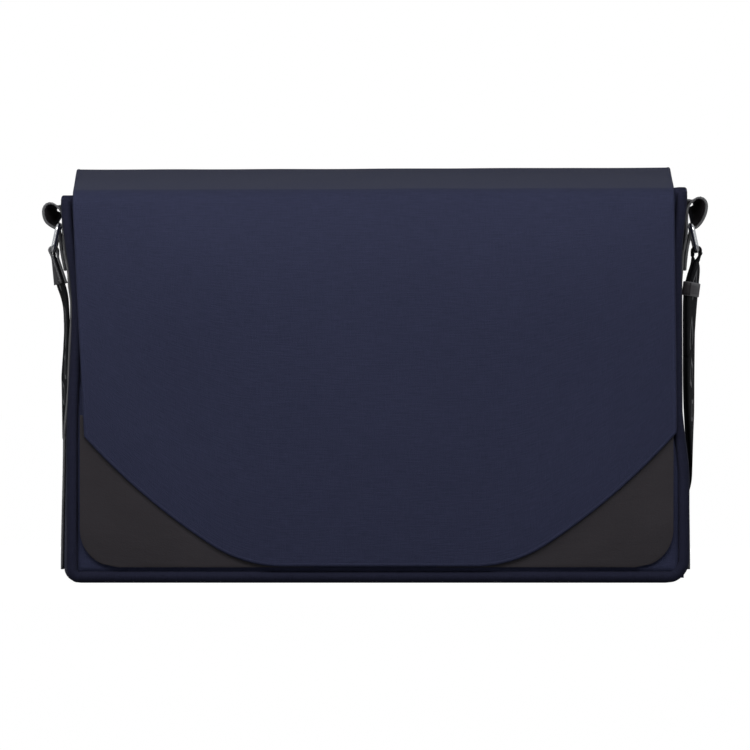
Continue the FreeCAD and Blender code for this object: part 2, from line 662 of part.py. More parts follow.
def make_strap():
    """The webbing behind the bag, the layer that runs back to the slider, and the slider."""
    route = STRAP_LEFT + STRAP_FLOOR + STRAP_RIGHT
    frames = band_frames(route, 2)
    add_feature("strap_webbing", band_solid(frames))
    length = sum((b[0] - a[0]).Length for a, b in zip(frames, frames[1:]))

    layer_step = value("webbing_thickness + 2 * layer_gap")
    doubled = band_frames(STRAP_FLOOR[-4:] + STRAP_RIGHT, 2)
    add_feature("strap_return", band_solid(doubled, -layer_step))
    back = sum((b[0] - a[0]).Length for a, b in zip(doubled, doubled[1:]))

    # The slider lies on the doubled webbing; its middle bar holds the sewn end.
    thick, width = value("webbing_thickness"), value("webbing_width")
    bar, span = value("slider_bar") / 2, value("slider_span")
    rail = width / 2 + value("slider_side_gap") + bar
    centre = placed(SLIDER_AT)
    frame = wire_frame(bar, rail, span, 2 * bar)
    frame.Placement = FreeCAD.Placement(V(span / 2, 0, 0), FreeCAD.Rotation(V(0, 1, 0), 90))
    middle = Part.makeCylinder(bar * MIDDLE_BAR_SHARE, 2 * rail, V(0, -rail, 0), V(0, 1, 0))
    tilt = FreeCAD.Rotation(V(0, 1, 0), -SLIDER_TILT)
    add_feature("strap_slider", frame.fuse(middle), FreeCAD.Placement(centre, tilt))

    wrap = bar + value("run_clearance") + thick / 2
    tail = placed(STRAP_FLOOR[-4]) - centre - V(value("seam_gap"), 0, layer_step)
    loop = joined([
        line_piece(V(tail.x, 0, tail.z), V(0, 0, -wrap), thick, width),
        arc_piece(V(0, 0, 0), wrap, 0, 270, thick, width),
    ])
    add_feature("strap_end_loop", loop, FreeCAD.Placement(centre, FreeCAD.Rotation()))
    print(f"webbing behind the bag {length:.0f} mm, doubled back {back:.0f} mm")


# ---------------------------------------------------------------- inside of the bag

def pocket_outline(side, grow):
    """A bottle pocket's three-sided outline on the XY plane, open towards the end wall."""
    near = "(room_half_width - layer_gap)"
    far = f"(room_half_width - layer_gap - bottle_pocket_reach - ({grow}))"
    half = f"(bottle_pocket_depth / 2 + ({grow}))"
    corner = f"(bottle_pocket_depth / 3 + ({grow}))"
    outline = [(near, "-" + half), (near, half), (f"{far} + {corner}", half, corner),
               (far, f"{half} - {corner}"), (far, f"-{half} + {corner}", corner),
               (f"{far} + {corner}", f"-{half}")]
    if side > 0:
        return outline
    flat = [(f"-({c[0]})", c[1]) for c in outline]
    return [flat[1], flat[0], (*flat[5], corner), flat[4], (*flat[3], corner), flat[2]]


def make_pockets():
    """Bottle pockets with elastic tops, a slip pocket and a flat zip pocket."""
    for side, word in ((-1, "left"), (1, "right")):
        pocket = new_body("bottle_pocket_" + word, z="pocket_floor")
        add_pad(pocket, "XY", [pocket_outline(side, "0")], "bottle_pocket_height")
        add_pocket(pocket, "XY", [pocket_outline(side, "-lining_fabric")],
                   "bottle_pocket_height", offset="lining_fabric")
        band = new_body("pocket_elastic_" + word,
                        z="pocket_floor + bottle_pocket_height - elastic_height")
        add_pad(band, "XY", [pocket_outline(side, "elastic_thickness + layer_gap / 2")],
                "elastic_height")
        add_pocket(band, "XY", [pocket_outline(side, "layer_gap / 2")], "elastic_height")

    depth = "(slip_pocket_space + lining_fabric)"
    slip = new_body("slip_pocket", y="-room_half_depth + layer_gap",
                    z="room_floor + slip_pocket_lift")
    half = "(slip_pocket_width / 2)"
    add_pad(slip, "XY", [rectangle("-" + half, "0", half, depth)], "slip_pocket_height")
    wall = "lining_fabric"
    add_pocket(slip, "XY", [
        rectangle(f"-{half} + {wall}", "-layer_gap", f"-{wall} / 2", "slip_pocket_space"),
        rectangle(f"{wall} / 2", "-layer_gap", f"{half} - {wall}", "slip_pocket_space"),
    ], "slip_pocket_height", offset=wall)

    half = "(zip_pocket_width / 2)"
    panel_y = "room_half_depth - layer_gap - zip_pocket_space - lining_fabric"
    low = "(zip_pocket_top - zip_pocket_height)"
    panel = new_body("zip_pocket_panel", y=panel_y)
    add_pad(panel, "XZ", [rectangle("-" + half, low, half, "zip_pocket_top")],
            "zip_pocket_space + lining_fabric")
    hem = "zip_pocket_hem"
    add_pocket(panel, "XZ", [rectangle(f"-{half} + {hem}", f"{low} + {hem}", f"{half} - {hem}",
                                       f"zip_pocket_top - {hem}")],
               "zip_pocket_space", offset="-lining_fabric")
    add_pocket(panel, "XZ", [rectangle("-zip_length / 2", "zip_level - zip_slot / 2",
                                       "zip_length / 2", "zip_level + zip_slot / 2")],
               "lining_fabric")

    tape_y = f"{panel_y} + lining_fabric + layer_gap"
    gap = "(zip_gap / 2)"
    teeth, tapes = [], []
    for sign, word in ((1, "upper"), (-1, "lower")):
        edge = f"zip_level + {sign} * {gap}"
        top = f"{edge} + {sign} * zip_teeth_width"
        row = pieces_box("zip_teeth_" + word, "zip_length", "zip_teeth_thickness",
                         "zip_teeth_width", "-zip_length / 2",
                         f"{tape_y} + zip_tape_thickness / 2 - zip_teeth_thickness / 2",
                         edge if sign > 0 else top)
        teeth.append(row)
        tape_low = top if sign > 0 else "zip_level - zip_slot / 2 - zip_tape_lap"
        tape = pieces_box("zip_tape_" + word, "zip_length + 2 * zip_tape_lap",
                          "zip_tape_thickness",
                          f"zip_slot / 2 + zip_tape_lap - {gap} - zip_teeth_width",
                          "-zip_length / 2 - zip_tape_lap", tape_y, tape_low)
        tapes.append(tape)
    for label, links in (("zip_teeth", teeth), ("zip_tapes", tapes)):
        group = doc.addObject("Part::Compound", label)
        group.Label = label
        group.Links = links


def make_zip_slider():
    """Two plates before and behind the teeth, a thin post between them, and the pull tab's pin."""
    mid = value("room_half_depth - layer_gap - zip_pocket_space + layer_gap + zip_tape_thickness / 2")
    run, fabric, plate = 2 * value("run_clearance"), value("lining_fabric"), value("zip_slider_plate")
    long, neck = value("zip_slider_length"), value("pull_neck")
    pin, eye = value("pull_pin"), value("pull_eye")
    half_t = value("zip_teeth_thickness") / 2
    tall = value("2 * (zip_teeth_width + zip_slider_lap) + zip_gap")
    front_y = -half_t - run - plate - fabric
    pin_y = front_y - eye - 2 * run
    post = value("zip_gap") - 2 * run
    solids = [
        Part.makeBox(long, plate + fabric, tall, V(-long / 2, front_y, -tall / 2)),
        Part.makeBox(long, plate, tall, V(-long / 2, half_t + run, -tall / 2)),
        Part.makeBox(value("zip_post"), 2 * (half_t + run) + plate, post,
                     V(-long / 2, -half_t - run - plate / 2, -post / 2)),
        Part.makeCylinder(pin, neck + 2 * (run + plate), V(-neck / 2 - run - plate, pin_y, 0),
                          V(1, 0, 0)),
    ]
    for ear_x in (-neck / 2 - run - plate, neck / 2 + run):
        solids.append(Part.makeBox(plate, front_y - pin_y + pin, 2 * pin,
                                   V(ear_x, pin_y - pin, -pin)))
    start_x = value("(zip_slider_length - zip_length) / 2 + zip_slider_lap")
    at = FreeCAD.Placement(V(start_x, mid, value("zip_level")), FreeCAD.Rotation())
    add_feature("zip_slider", joined(solids), at)

    thick, drop = value("pull_thickness"), value("pull_length")
    tab = [
        Part.makeCylinder(eye, neck, V(-neck / 2, 0, 0), V(1, 0, 0)),
        Part.makeBox(neck, thick, drop / 2, V(-neck / 2, -thick / 2, -drop / 2)),
        Part.makeBox(2 * neck, thick, drop / 2 + eye, V(-neck, -thick / 2, -drop)),
    ]
    hole = Part.makeCylinder(pin + value("run_clearance"), 2 * neck, V(-neck, 0, 0), V(1, 0, 0))
    add_feature("zip_pull", joined(tab).cut(hole),
                FreeCAD.Placement(at.Base + V(0, pin_y, 0), FreeCAD.Rotation()))
    print(f"zip pull's pin at {at.Base + V(0, pin_y, 0)}")


def make_mat():
    """The folded changing mat, standing in the main compartment."""
    mat = new_body("changing_mat", y="mat_front")
    half, corner = "(mat_width / 2)", "mat_corner_radius"
    low = "(room_floor + part_gap)"
    high = f"({low} + mat_height)"
    add_pad(mat, "XZ", [[
        ("-" + half, f"{high} - {corner}"), ("-" + half, f"{low} + {corner}", corner),
        (f"-{half} + {corner}", low), (f"{half} - {corner}", low, corner),
        (half, f"{low} + {corner}"), (half, f"{high} - {corner}", corner),
        (f"{half} - {corner}", high), (f"-{half} + {corner}", high, corner),
    ]], "mat_thickness")


NODES = [
    "front_panel", "back_panel", "front_border", "back_border", "bottom_gusset",
    "side_gusset_left", "side_gusset_right", "front_foam", "back_foam", "base_board", "lining",
    "mouth_facing", "corner_patch_left", "corner_patch_right", "flap_anchor",
    "flap_top_outer", "flap_top_stiffener", "flap_top_lining",
    "flap_front_outer", "flap_front_stiffener", "flap_front_lining",
    "body_magnets", "flap_magnets", "side_strap_left", "side_strap_right",
    "ring_left", "ring_right", "strap_tab_left", "strap_webbing_left", "strap_webbing",
    "strap_fold_right", "strap_keeper_right", "strap_return", "strap_slider", "strap_end_loop",
    "bottle_pocket_left", "bottle_pocket_right", "pocket_elastic_left", "pocket_elastic_right",
    "slip_pocket", "zip_pocket_panel", "zip_tapes", "zip_teeth", "zip_slider", "zip_pull",
    "changing_mat",
]


def main():
    make_shell()
    make_flap()
    make_patches()
    make_side_fittings()
    make_strap()
    make_pockets()
    make_zip_slider()
    make_mat()
    doc.recompute()
    for item in doc.Objects:
        if "Invalid" in item.State or "Error" in item.State:
            raise RuntimeError(f"{item.Label} failed: {item.State}")
    by_label = {item.Label: item for item in doc.Objects}
    for label in NODES:
        shape = by_label[label].Shape
        if shape.isNull() or not shape.isValid() or not shape.Solids:
            raise RuntimeError(f"{label} has no valid shape")
    os.makedirs("parts", exist_ok=True)
    for label in NODES:
        by_label[label].Shape.exportStep(f"parts/{label}.step")


main()
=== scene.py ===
import math

import bpy
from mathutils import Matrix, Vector, noise


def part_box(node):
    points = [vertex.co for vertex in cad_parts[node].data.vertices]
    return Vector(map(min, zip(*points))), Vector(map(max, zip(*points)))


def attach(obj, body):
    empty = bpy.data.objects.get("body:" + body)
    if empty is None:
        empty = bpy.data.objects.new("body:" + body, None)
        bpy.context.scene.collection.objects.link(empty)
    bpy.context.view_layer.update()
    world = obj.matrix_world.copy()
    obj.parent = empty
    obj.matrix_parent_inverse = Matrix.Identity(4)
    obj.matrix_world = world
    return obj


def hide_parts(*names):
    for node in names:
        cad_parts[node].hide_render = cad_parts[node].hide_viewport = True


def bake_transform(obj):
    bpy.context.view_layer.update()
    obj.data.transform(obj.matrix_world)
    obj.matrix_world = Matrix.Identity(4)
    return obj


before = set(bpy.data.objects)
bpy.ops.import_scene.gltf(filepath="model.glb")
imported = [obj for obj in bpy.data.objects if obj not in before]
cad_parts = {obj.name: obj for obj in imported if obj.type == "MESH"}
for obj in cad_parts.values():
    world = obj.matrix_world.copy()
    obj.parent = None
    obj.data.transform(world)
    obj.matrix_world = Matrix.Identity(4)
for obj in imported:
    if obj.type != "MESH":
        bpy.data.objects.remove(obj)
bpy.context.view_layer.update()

# Sizes are in metres.  X runs along the bag, Y to its back, Z up, as in the frame.
MM = 0.001
PANEL_LOW, PANEL_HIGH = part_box("front_panel")
BACK_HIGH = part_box("back_panel")[1]
HALF_WIDTH = PANEL_HIGH.x
FRONT = PANEL_LOW.y
BACK = BACK_HIGH.y
FRONT_TOP = PANEL_HIGH.z
BACK_TOP = BACK_HIGH.z
DEPTH = BACK - FRONT
SIDES = ((-1, "left"), (1, "right"))
FACES = (("front", FRONT, -1), ("back", BACK, 1))
FABRIC = PANEL_HIGH.y - PANEL_LOW.y
FLAP_LOW, FLAP_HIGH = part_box("flap_front_outer")
WEBBING_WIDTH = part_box("strap_fold_right")[1].y * 2

# How far the cloth ends are drawn in at each height: at the front and back edges, and midway.
EDGE_PULL = {
    -1: ((0, 2.9), (0.091, 2.9), (0.177, 6.2), (0.246, -0.8)),
    1: ((0, -0.9), (0.066, -0.9), (0.117, 3.8), (0.206, 3.9), (0.25, 0.4)),
}
MIDDLE_PULL = {
    -1: ((0.01, -0.2), (0.09, 1.1), (0.13, 4), (0.177, 5.7), (0.195, 4), (0.219, 0.3),
         (0.246, -0.5)),
    1: ((0.01, -0.8), (0.066, -0.3), (0.11, 4), (0.19, 4.2), (0.209, 3), (0.222, 1.4),
        (0.25, 0.5)),
}
END_LEVEL = {-1: 0.2462, 1: 0.2513}     # where the open edge lies along each end
END_START, END_REACH = 0.170, 0.022     # where its front and back runs bend down to that
CORNER_RADIUS = {-1: 9 * MM, 1: 15 * MM}


# ---- shapes and meshes

def through(stops, at):
    """A smooth line through (position, value) stops, level at each stop."""
    if at <= stops[0][0]:
        return stops[0][1]
    for (start, low), (end, high) in zip(stops, stops[1:]):
        if at <= end:
            share = (at - start) / (end - start)
            return low + (high - low) * share * share * (3 - 2 * share)
    return stops[-1][1]


def lerp(a, b, share):
    return a + (b - a) * share


def steps(count):
    """Shares from 0 to 1."""
    return [i / count for i in range(count + 1)]


def ripple(x, z, size, seed):
    """Smooth unevenness of cloth, between -1 and 1 or so; size is the length of one wave."""
    return noise.noise(Vector((x / size, z / size, seed)))


def wall(side, y, z):
    """The bag's end wall: its X at a depth and height."""
    share = 1 - min((y / BACK) ** 2, 1)
    pull = lerp(through(EDGE_PULL[side], z), through(MIDDLE_PULL[side], z), share)
    return side * (HALF_WIDTH - pull * MM)


def side_of(x):
    """-1 on the left of the bag's middle and 1 on the right."""
    return -1 if x < 0 else 1


def clamp(value):
    return min(max(value, 0), 1)


def smooth(value):
    value = clamp(value)
    return value * value * (3 - 2 * value)


def mouth(x, y):
    """The height of the bag's open edge."""
    slope = (BACK_TOP - FRONT_TOP) / DEPTH
    level = FRONT_TOP + (y - FRONT) * slope
    return lerp(level, END_LEVEL[side_of(x)], smooth((abs(x) - END_START) / END_REACH))


def make_piece(name, points, faces, uvs, material, marks=None):
    """A smooth mesh object; uvs holds one pair per face corner, marks a slot per face."""
    mesh = bpy.data.meshes.new(name)
    mesh.from_pydata([tuple(p) for p in points], [], faces)
    layer = mesh.uv_layers.new(name="UVMap")
    for corner, uv in zip(layer.data, uvs):
        corner.uv = uv
    for mat in material if isinstance(material, (list, tuple)) else [material]:
        mesh.materials.append(mat)
    for face in mesh.polygons:
        face.use_smooth = True
        if marks:
            face.material_index = marks[face.index]
    piece = bpy.data.objects.new(name, mesh)
    bpy.context.scene.collection.objects.link(piece)
    return piece


def settle(piece, slot, *nodes, body="bag"):
    """Hides the frame's nodes that a piece stands for and hangs it on what it rides on; slot, its
    finish, is not used.
    """
    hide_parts(*nodes)
    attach(piece, body)


def grid_data(rows, closed=False):
    """Points, faces and UVs (in metres, along the rows and down them) of a grid of rows."""
    count = len(rows[0])
    points = [p for row in rows for p in row]
    down = [0.0]
    middle = count // 2
    for before, after in zip(rows, rows[1:]):
        down.append(down[-1] + (after[middle] - before[middle]).length)
    across = []
    for row in rows:
        runs = [0.0]
        for before, after in zip(row, row[1:] + row[:1]):
            runs.append(runs[-1] + (after - before).length)
        shift = runs[middle]
        across.append([run - shift for run in runs])
    faces, uvs = [], []
    for i in range(len(rows) - 1):
        for j in range(count if closed else count - 1):
            k = (j + 1) % count
            faces.append((i * count + j, i * count + k, (i + 1) * count + k, (i + 1) * count + j))
            uvs += [(across[i][j], down[i]), (across[i][j + 1], down[i]),
                    (across[i + 1][j + 1], down[i + 1]), (across[i + 1][j], down[i + 1])]
    return points, faces, uvs


def grid(downs, acrosses, place):
    """Rows of places, one for each value of downs, from place(across, down)."""
    return [[place(across, down) for across in acrosses] for down in downs]


def add_modifier(piece, kind, **settings):
    modifier = piece.modifiers.new(kind.title(), kind)
    for key, value in settings.items():
        setattr(modifier, key, value)


def thicken(piece, thickness, round_edge=0.0):
    """Gives a sheet its thickness, behind its face, with rounded edges."""
    add_modifier(piece, "SOLIDIFY", thickness=thickness, offset=-1)
    if round_edge:
        add_modifier(piece, "BEVEL", width=round_edge, segments=3, limit_method="ANGLE",
                     angle_limit=math.radians(50))
    else:
        add_modifier(piece, "EDGE_SPLIT", split_angle=math.radians(50))
    return piece


def sheet_piece(name, rows, material, thickness, round_edge=0.0, closed=False):
    """A cloth or leather sheet from rows of points; its face looks along row x column."""
    points, faces, uvs = grid_data(rows, closed)
    return thicken(make_piece(name, points, faces, uvs, material), thickness, round_edge)


def sweep(name, frames, section, material, closed=False, along=0.0, edges=()):
    """A closed section carried along frames (origin, first axis, second axis).

    Faces that start at the section points named in edges take the second material.
    """
    rows = [[at + a * s + b * t for s, t in section] for at, a, b in frames]
    if closed:
        rows.append(rows[0])
    points, faces, uvs = grid_data(rows, closed=True)
    count = len(section)
    uvs = [(u, v + along) for u, v in uvs]
    marks = [1 if i % count in edges else 0 for i in range(len(faces))]
    if not closed:
        for ends in (tuple(range(count))[::-1], tuple(range((len(rows) - 1) * count,
                                                              len(rows) * count))):
            faces.append(ends)
            uvs += [(0, along)] * count
            marks.append(1 if edges else 0)
    return make_piece(name, points, faces, uvs, material, marks)


def band_section(width, thickness):
    """A flat band's section, rounded at its two edges; first axis across, second through."""
    half, thick = width / 2, thickness / 2
    cut = thickness * 0.45
    flat = half - cut
    outline = [(-flat, -thick)]
    outline += [(lerp(-flat, flat, s), -thick) for s in (0.25, 0.5, 0.75)]
    outline += [(flat, -thick), (half, -thick + cut), (half, thick - cut), (flat, thick)]
    outline += [(lerp(flat, -flat, s), thick) for s in (0.25, 0.5, 0.75)]
    outline += [(-flat, thick), (-half, thick - cut), (-half, -thick + cut)]
    return outline


BAND_EDGES = (4, 5, 6, 11, 12, 13)


def oval(half_wide, half_thick, count):
    """A cord's or edge's round section."""
    turns = [2 * math.pi * i / count for i in range(count)]
    return [(half_wide * math.cos(turn), half_thick * math.sin(turn)) for turn in turns]


def frames_along(places, wides):
    """Frames of a band: at each place, across the band and out of its face."""
    frames = []
    for i, (at, wide) in enumerate(zip(places, wides)):
        along = (places[min(i + 1, len(places) - 1)] - places[max(i - 1, 0)]).normalized()
        wide = (wide - along * wide.dot(along)).normalized()
        frames.append((at, wide, along.cross(wide)))
    return frames


def rebuilt(frames):
    """A band's frames worked out again, for runs that are joined or turned round."""
    return frames_along([f[0] for f in frames], [f[1] for f in frames])


def first_past(frames, axis, level):
    """The number of the first frame whose place is past a level along an axis."""
    return next(i for i, f in enumerate(frames) if f[0][axis] > level)


def length_of(frames):
    return sum((b[0] - a[0]).length for a, b in zip(frames, frames[1:]))


def rounded_path(corners):
    """Points in a plane along straight runs joined by arcs; corners are (y, z, radius)."""
    step = 2 * MM
    places = [Vector(c[:2]) for c in corners]
    ends = [[places[0]]]
    for i in range(1, len(places) - 1):
        at, radius = places[i], corners[i][2]
        back = (places[i - 1] - at).normalized()
        on = (places[i + 1] - at).normalized()
        half = back.angle(on) / 2
        centre = at + (back + on).normalized() * (radius / math.sin(half))
        first, last = at + back * (radius / math.tan(half)), at + on * (radius / math.tan(half))
        count = max(3, round((math.pi - 2 * half) * radius / step))
        arc = []
        for share in steps(count):
            chord = first.lerp(last, share) - centre
            arc.append(centre + chord.normalized() * radius)
        ends.append(arc)
    ends.append([places[-1]])
    path = []
    for before, after in zip(ends, ends[1:]):
        path += before
        run = (after[0] - before[-1]).length
        count = max(1, round(run / (2 * step)))
        path += [before[-1].lerp(after[0], s) for s in steps(count)[1:-1]]
    return path + ends[-1]


def corner_arcs(half_x, half_y, radius, count):
    """A rectangle's rounded corners, counter-clockwise: lists of (place, outward way)."""
    corners = []
    for sx, sy in ((1, 1), (-1, 1), (-1, -1), (1, -1)):
        centre = Vector((sx * (half_x - radius), sy * (half_y - radius)))
        first = math.atan2(sy, sx) - math.pi / 4
        turns = [first + share * math.pi / 2 for share in steps(count)]
        ways = [Vector((math.cos(turn), math.sin(turn))) for turn in turns]
        corners.append([(centre + way * radius, way) for way in ways])
    return corners


def spline(poles, per_span):
    """Samples of the smooth degree-2 line that follows the poles, from the first to the last."""
    poles = [Vector(p) for p in poles]
    samples = []
    for i in range(1, len(poles) - 1):
        start = poles[0] if i == 1 else (poles[i - 1] + poles[i]) / 2
        end = poles[-1] if i == len(poles) - 2 else (poles[i] + poles[i + 1]) / 2
        for share in steps(per_span)[0 if i == 1 else 1:]:
            samples.append(start.lerp(poles[i], share).lerp(poles[i].lerp(end, share), share))
    return samples


# ---- materials

def add(tree, kind, inputs=None, **settings):
    """A node with its settings and inputs; an input is a number, a tuple or a socket."""
    node = tree.nodes.new("ShaderNode" + kind)
    for key, value in settings.items():
        setattr(node, key, value)
    for key, value in (inputs or {}).items():
        if isinstance(value, bpy.types.NodeSocket):
            tree.links.new(value, node.inputs[key])
        else:
            node.inputs[key].default_value = value
    return node


def calculate(tree, operation, *values):
    return add(tree, "Math", dict(enumerate(values)), operation=operation).outputs[0]


def new_material(name, roughness, **sockets):
    """A material with its plain shader values; returns it with its tree, shader and UV."""
    material = bpy.data.materials.new(name)
    material.use_nodes = True
    tree = material.node_tree
    shader = tree.nodes["Principled BSDF"]
    shader.inputs["Roughness"].default_value = roughness
    for key, value in sockets.items():
        label = key.replace("_", " ").title().replace("Ior", "IOR")
        shader.inputs[label].default_value = value
    return material, tree, shader


def place_of(tree, scale, source="UV"):
    """Texture coordinates, from the UV map in metres or the object's own space, scaled."""
    if source == "UV":
        at = add(tree, "UVMap", uv_map="UVMap").outputs[0]
    else:
        at = add(tree, "TexCoord").outputs["Object"]
    return add(tree, "Mapping", {"Vector": at, "Scale": scale}).outputs[0]


def noise_of(tree, scale, detail=3.0, source="UV"):
    """Cloudy noise whose features are 1 / scale metres long each way."""
    at = place_of(tree, scale, source)
    return add(tree, "TexNoise", {"Vector": at, "Scale": 1.0, "Detail": detail,
                                  "Roughness": 0.55}).outputs["Fac"]


def blend_colour(tree, share, first, second):
    node = add(tree, "Mix", data_type="RGBA")
    tree.links.new(share, node.inputs["Factor"])
    for key, value in (("A", first), ("B", second)):
        socket = [s for s in node.inputs if s.name == key and s.type == "RGBA"][0]
        if isinstance(value, bpy.types.NodeSocket):
            tree.links.new(value, socket)
        else:
            socket.default_value = (*value, 1)
    return [s for s in node.outputs if s.type == "RGBA"][0]


def spread(tree, value, low, high):
    """Stretches the range low..high of a value to 0..1."""
    return add(tree, "MapRange", {"Value": value, "From Min": low, "From Max": high}).outputs[0]


def add_bump(tree, shader, height, distance, strength, below):
    inputs = {"Height": height, "Distance": distance, "Strength": strength}
    if below is not None:
        inputs["Normal"] = below
    normal = add(tree, "Bump", inputs).outputs[0]
    tree.links.new(normal, shader.inputs["Normal"])
    return normal


def finish_shader(tree, shader, colour, bumps, rough=None):
    """Links a colour, bumps of (height, distance, strength) from the lowest up, and roughness."""
    tree.links.new(colour, shader.inputs["Base Color"])
    if rough is not None:
        tree.links.new(rough, shader.inputs["Roughness"])
    below = None
    for bump in bumps:
        below = add_bump(tree, shader, *bump, below)


def weave_of(tree, pitch):
    """The height of a plain weave: threads that pass over and under each other."""
    at = place_of(tree, (2 * math.pi / pitch,) * 3)
    axes = add(tree, "SeparateXYZ", {"Vector": at}).outputs
    across = calculate(tree, "SINE", axes[0])
    down = calculate(tree, "SINE", axes[1])
    return calculate(tree, "MULTIPLY_ADD", calculate(tree, "MULTIPLY", across, down), 0.5, 0.5)


def make_cloth(name, dark, light, pitch, roughness=0.7, sheen=0.02, slubs=1.0):
    """Woven cloth: threads, short uneven slubs along the weft, and soft cloudy wear."""
    material, tree, shader = new_material(name, roughness, sheen_weight=sheen,
                                          sheen_roughness=0.5, specular_ior_level=0.03)
    weft = noise_of(tree, (95, 1150, 95), detail=2.0)
    warp = noise_of(tree, (1300, 120, 1300), detail=2.0)
    cloud = noise_of(tree, (9, 9, 9))
    weave = weave_of(tree, pitch)
    mixed = calculate(tree, "MULTIPLY_ADD", weft, 0.62, calculate(tree, "MULTIPLY", warp, 0.38))
    mixed = calculate(tree, "MULTIPLY_ADD", spread(tree, mixed, 0.3, 0.7), 0.6 * slubs,
                      calculate(tree, "MULTIPLY", cloud, 0.4))
    threads = calculate(tree, "MULTIPLY_ADD", weave, 0.3, calculate(tree, "MULTIPLY", mixed, 0.7))
    rough = calculate(tree, "MULTIPLY_ADD", mixed, 0.16, roughness - 0.08)
    finish_shader(tree, shader, blend_colour(tree, threads, dark, light),
                  ((weave, 0.12 * MM, 0.6), (mixed, 0.35 * MM * slubs, 0.55)), rough)
    return material


def make_leather(name, dark, light, roughness, grain=0.1):
    """Smooth leather with a fine grain, faint long creases and uneven gloss."""
    material, tree, shader = new_material(name, roughness, specular_ior_level=0.2)
    cells = add(tree, "TexVoronoi", {"Vector": place_of(tree, (900, 900, 900)),
                                     "Scale": 1.0}).outputs["Distance"]
    cloud = noise_of(tree, (14, 14, 14), detail=4.0)
    crease = noise_of(tree, (60, 160, 60))
    colour = blend_colour(tree, spread(tree, cloud, 0.3, 0.75), dark, light)
    rough = calculate(tree, "MULTIPLY_ADD", crease, 0.14, roughness - 0.07)
    finish_shader(tree, shader, colour, ((cells, grain * MM, 0.35), (crease, 0.25 * MM, 0.3)),
                  rough)
    return material


def make_webbing():
    """Black webbing: ribs across it and grey lozenges woven down its middle."""
    material, tree, shader = new_material("webbing_weave", 0.8, specular_ior_level=0.05)
    axes = add(tree, "SeparateXYZ", {"Vector": place_of(tree, (1, 1, 1))}).outputs
    pitch, half_long, half_wide = 30 * MM, 11 * MM, 9.5 * MM

    def of(operation, *values):
        return calculate(tree, operation, *values)

    turn = of("FRACT", of("DIVIDE", axes[1], pitch))
    down = of("MULTIPLY", of("ABSOLUTE", of("SUBTRACT", turn, 0.5)), pitch / half_long)
    folded = of("PINGPONG", axes[0], WEBBING_WIDTH / 2)
    across = of("DIVIDE", of("SUBTRACT", WEBBING_WIDTH / 2, folded), half_wide)
    ring = of("ABSOLUTE", of("SUBTRACT", of("ADD", down, across), 0.78))
    woven = of("LESS_THAN", ring, 0.17)
    rib = of("SINE", of("MULTIPLY", axes[1], 2 * math.pi / (1.1 * MM)))
    grain = of("SINE", of("MULTIPLY", axes[0], 2 * math.pi / (0.9 * MM)))
    threads = of("MULTIPLY_ADD", of("MULTIPLY", rib, grain), 0.5, 0.5)
    dust = noise_of(tree, (500, 500, 500))
    grey = blend_colour(tree, dust, (0.10, 0.10, 0.105), (0.22, 0.22, 0.225))
    black = blend_colour(tree, dust, (0.004, 0.004, 0.005), (0.012, 0.012, 0.014))
    finish_shader(tree, shader, blend_colour(tree, woven, black, grey),
                  ((threads, 0.3 * MM, 0.7), (woven, 0.15 * MM, 0.5)))
    return material


def make_metal(name, colour, roughness):
    """Polished metal with hair-fine wear."""
    material, tree, shader = new_material(name, roughness, metallic=1.0)
    scratch = noise_of(tree, (2500, 300, 2500), detail=2.0, source="Object")
    cloud = noise_of(tree, (160, 160, 160), detail=2.0, source="Object")
    tint = [c * 0.86 for c in colour]
    rough = calculate(tree, "MULTIPLY_ADD", scratch, 0.14, roughness - 0.05)
    finish_shader(tree, shader, blend_colour(tree, cloud, tint, colour),
                  ((scratch, 0.02 * MM, 0.3),), rough)
    return material


def make_thread(name, dark, light):
    """Sewing thread, with its twist as fine slanting lines."""
    material, tree, shader = new_material(name, 0.55, sheen_weight=0.2)
    twist = noise_of(tree, (2400, 2400, 900), source="Object")
    finish_shader(tree, shader, blend_colour(tree, twist, dark, light), ((twist, 0.08 * MM, 0.5),))
    return material


NAVY = make_cloth("navy_nylon", (0.0158, 0.0178, 0.0370), (0.0345, 0.0385, 0.0755), 0.62 * MM)
# A darker copy of the navy nylon: painted shade for the borders that lie in shadow; the facing,
# the pocket hem and the mat's binding take it too.
NAVY_SHADED = make_cloth("navy_nylon_shaded", (0.010, 0.0108, 0.022), (0.0195, 0.0207, 0.0405), 0.62 * MM)
LINING = make_cloth("grey_lining", (0.13, 0.135, 0.15), (0.20, 0.205, 0.225), 0.8 * MM,
                    roughness=0.75, sheen=0.15, slubs=0.7)
ELASTIC = make_cloth("dark_elastic", (0.012, 0.013, 0.02), (0.05, 0.05, 0.065), 1.6 * MM)
LEATHER = make_leather("black_leather", (0.0196, 0.0166, 0.0196), (0.0290, 0.0254, 0.0292), 0.42)
LEATHER_EDGE = make_leather("leather_edge", (0.10, 0.10, 0.105), (0.19, 0.19, 0.195), 0.6, 0.05)
WEBBING = make_webbing()
STEEL = make_metal("polished_steel", (0.84, 0.84, 0.85), 0.14)
TAPE = make_cloth("zip_tape", (0.012, 0.0125, 0.02), (0.03, 0.031, 0.045), 0.9 * MM)
MAT = make_cloth("mat_cloth", (0.075, 0.085, 0.115), (0.13, 0.14, 0.18), 0.7 * MM, slubs=0.6)
THREAD = make_thread("dark_thread", (0.012, 0.012, 0.018), (0.05, 0.05, 0.06))
GREY_THREAD = make_thread("grey_thread", (0.08, 0.08, 0.085), (0.16, 0.16, 0.17))


# ---- body of the bag

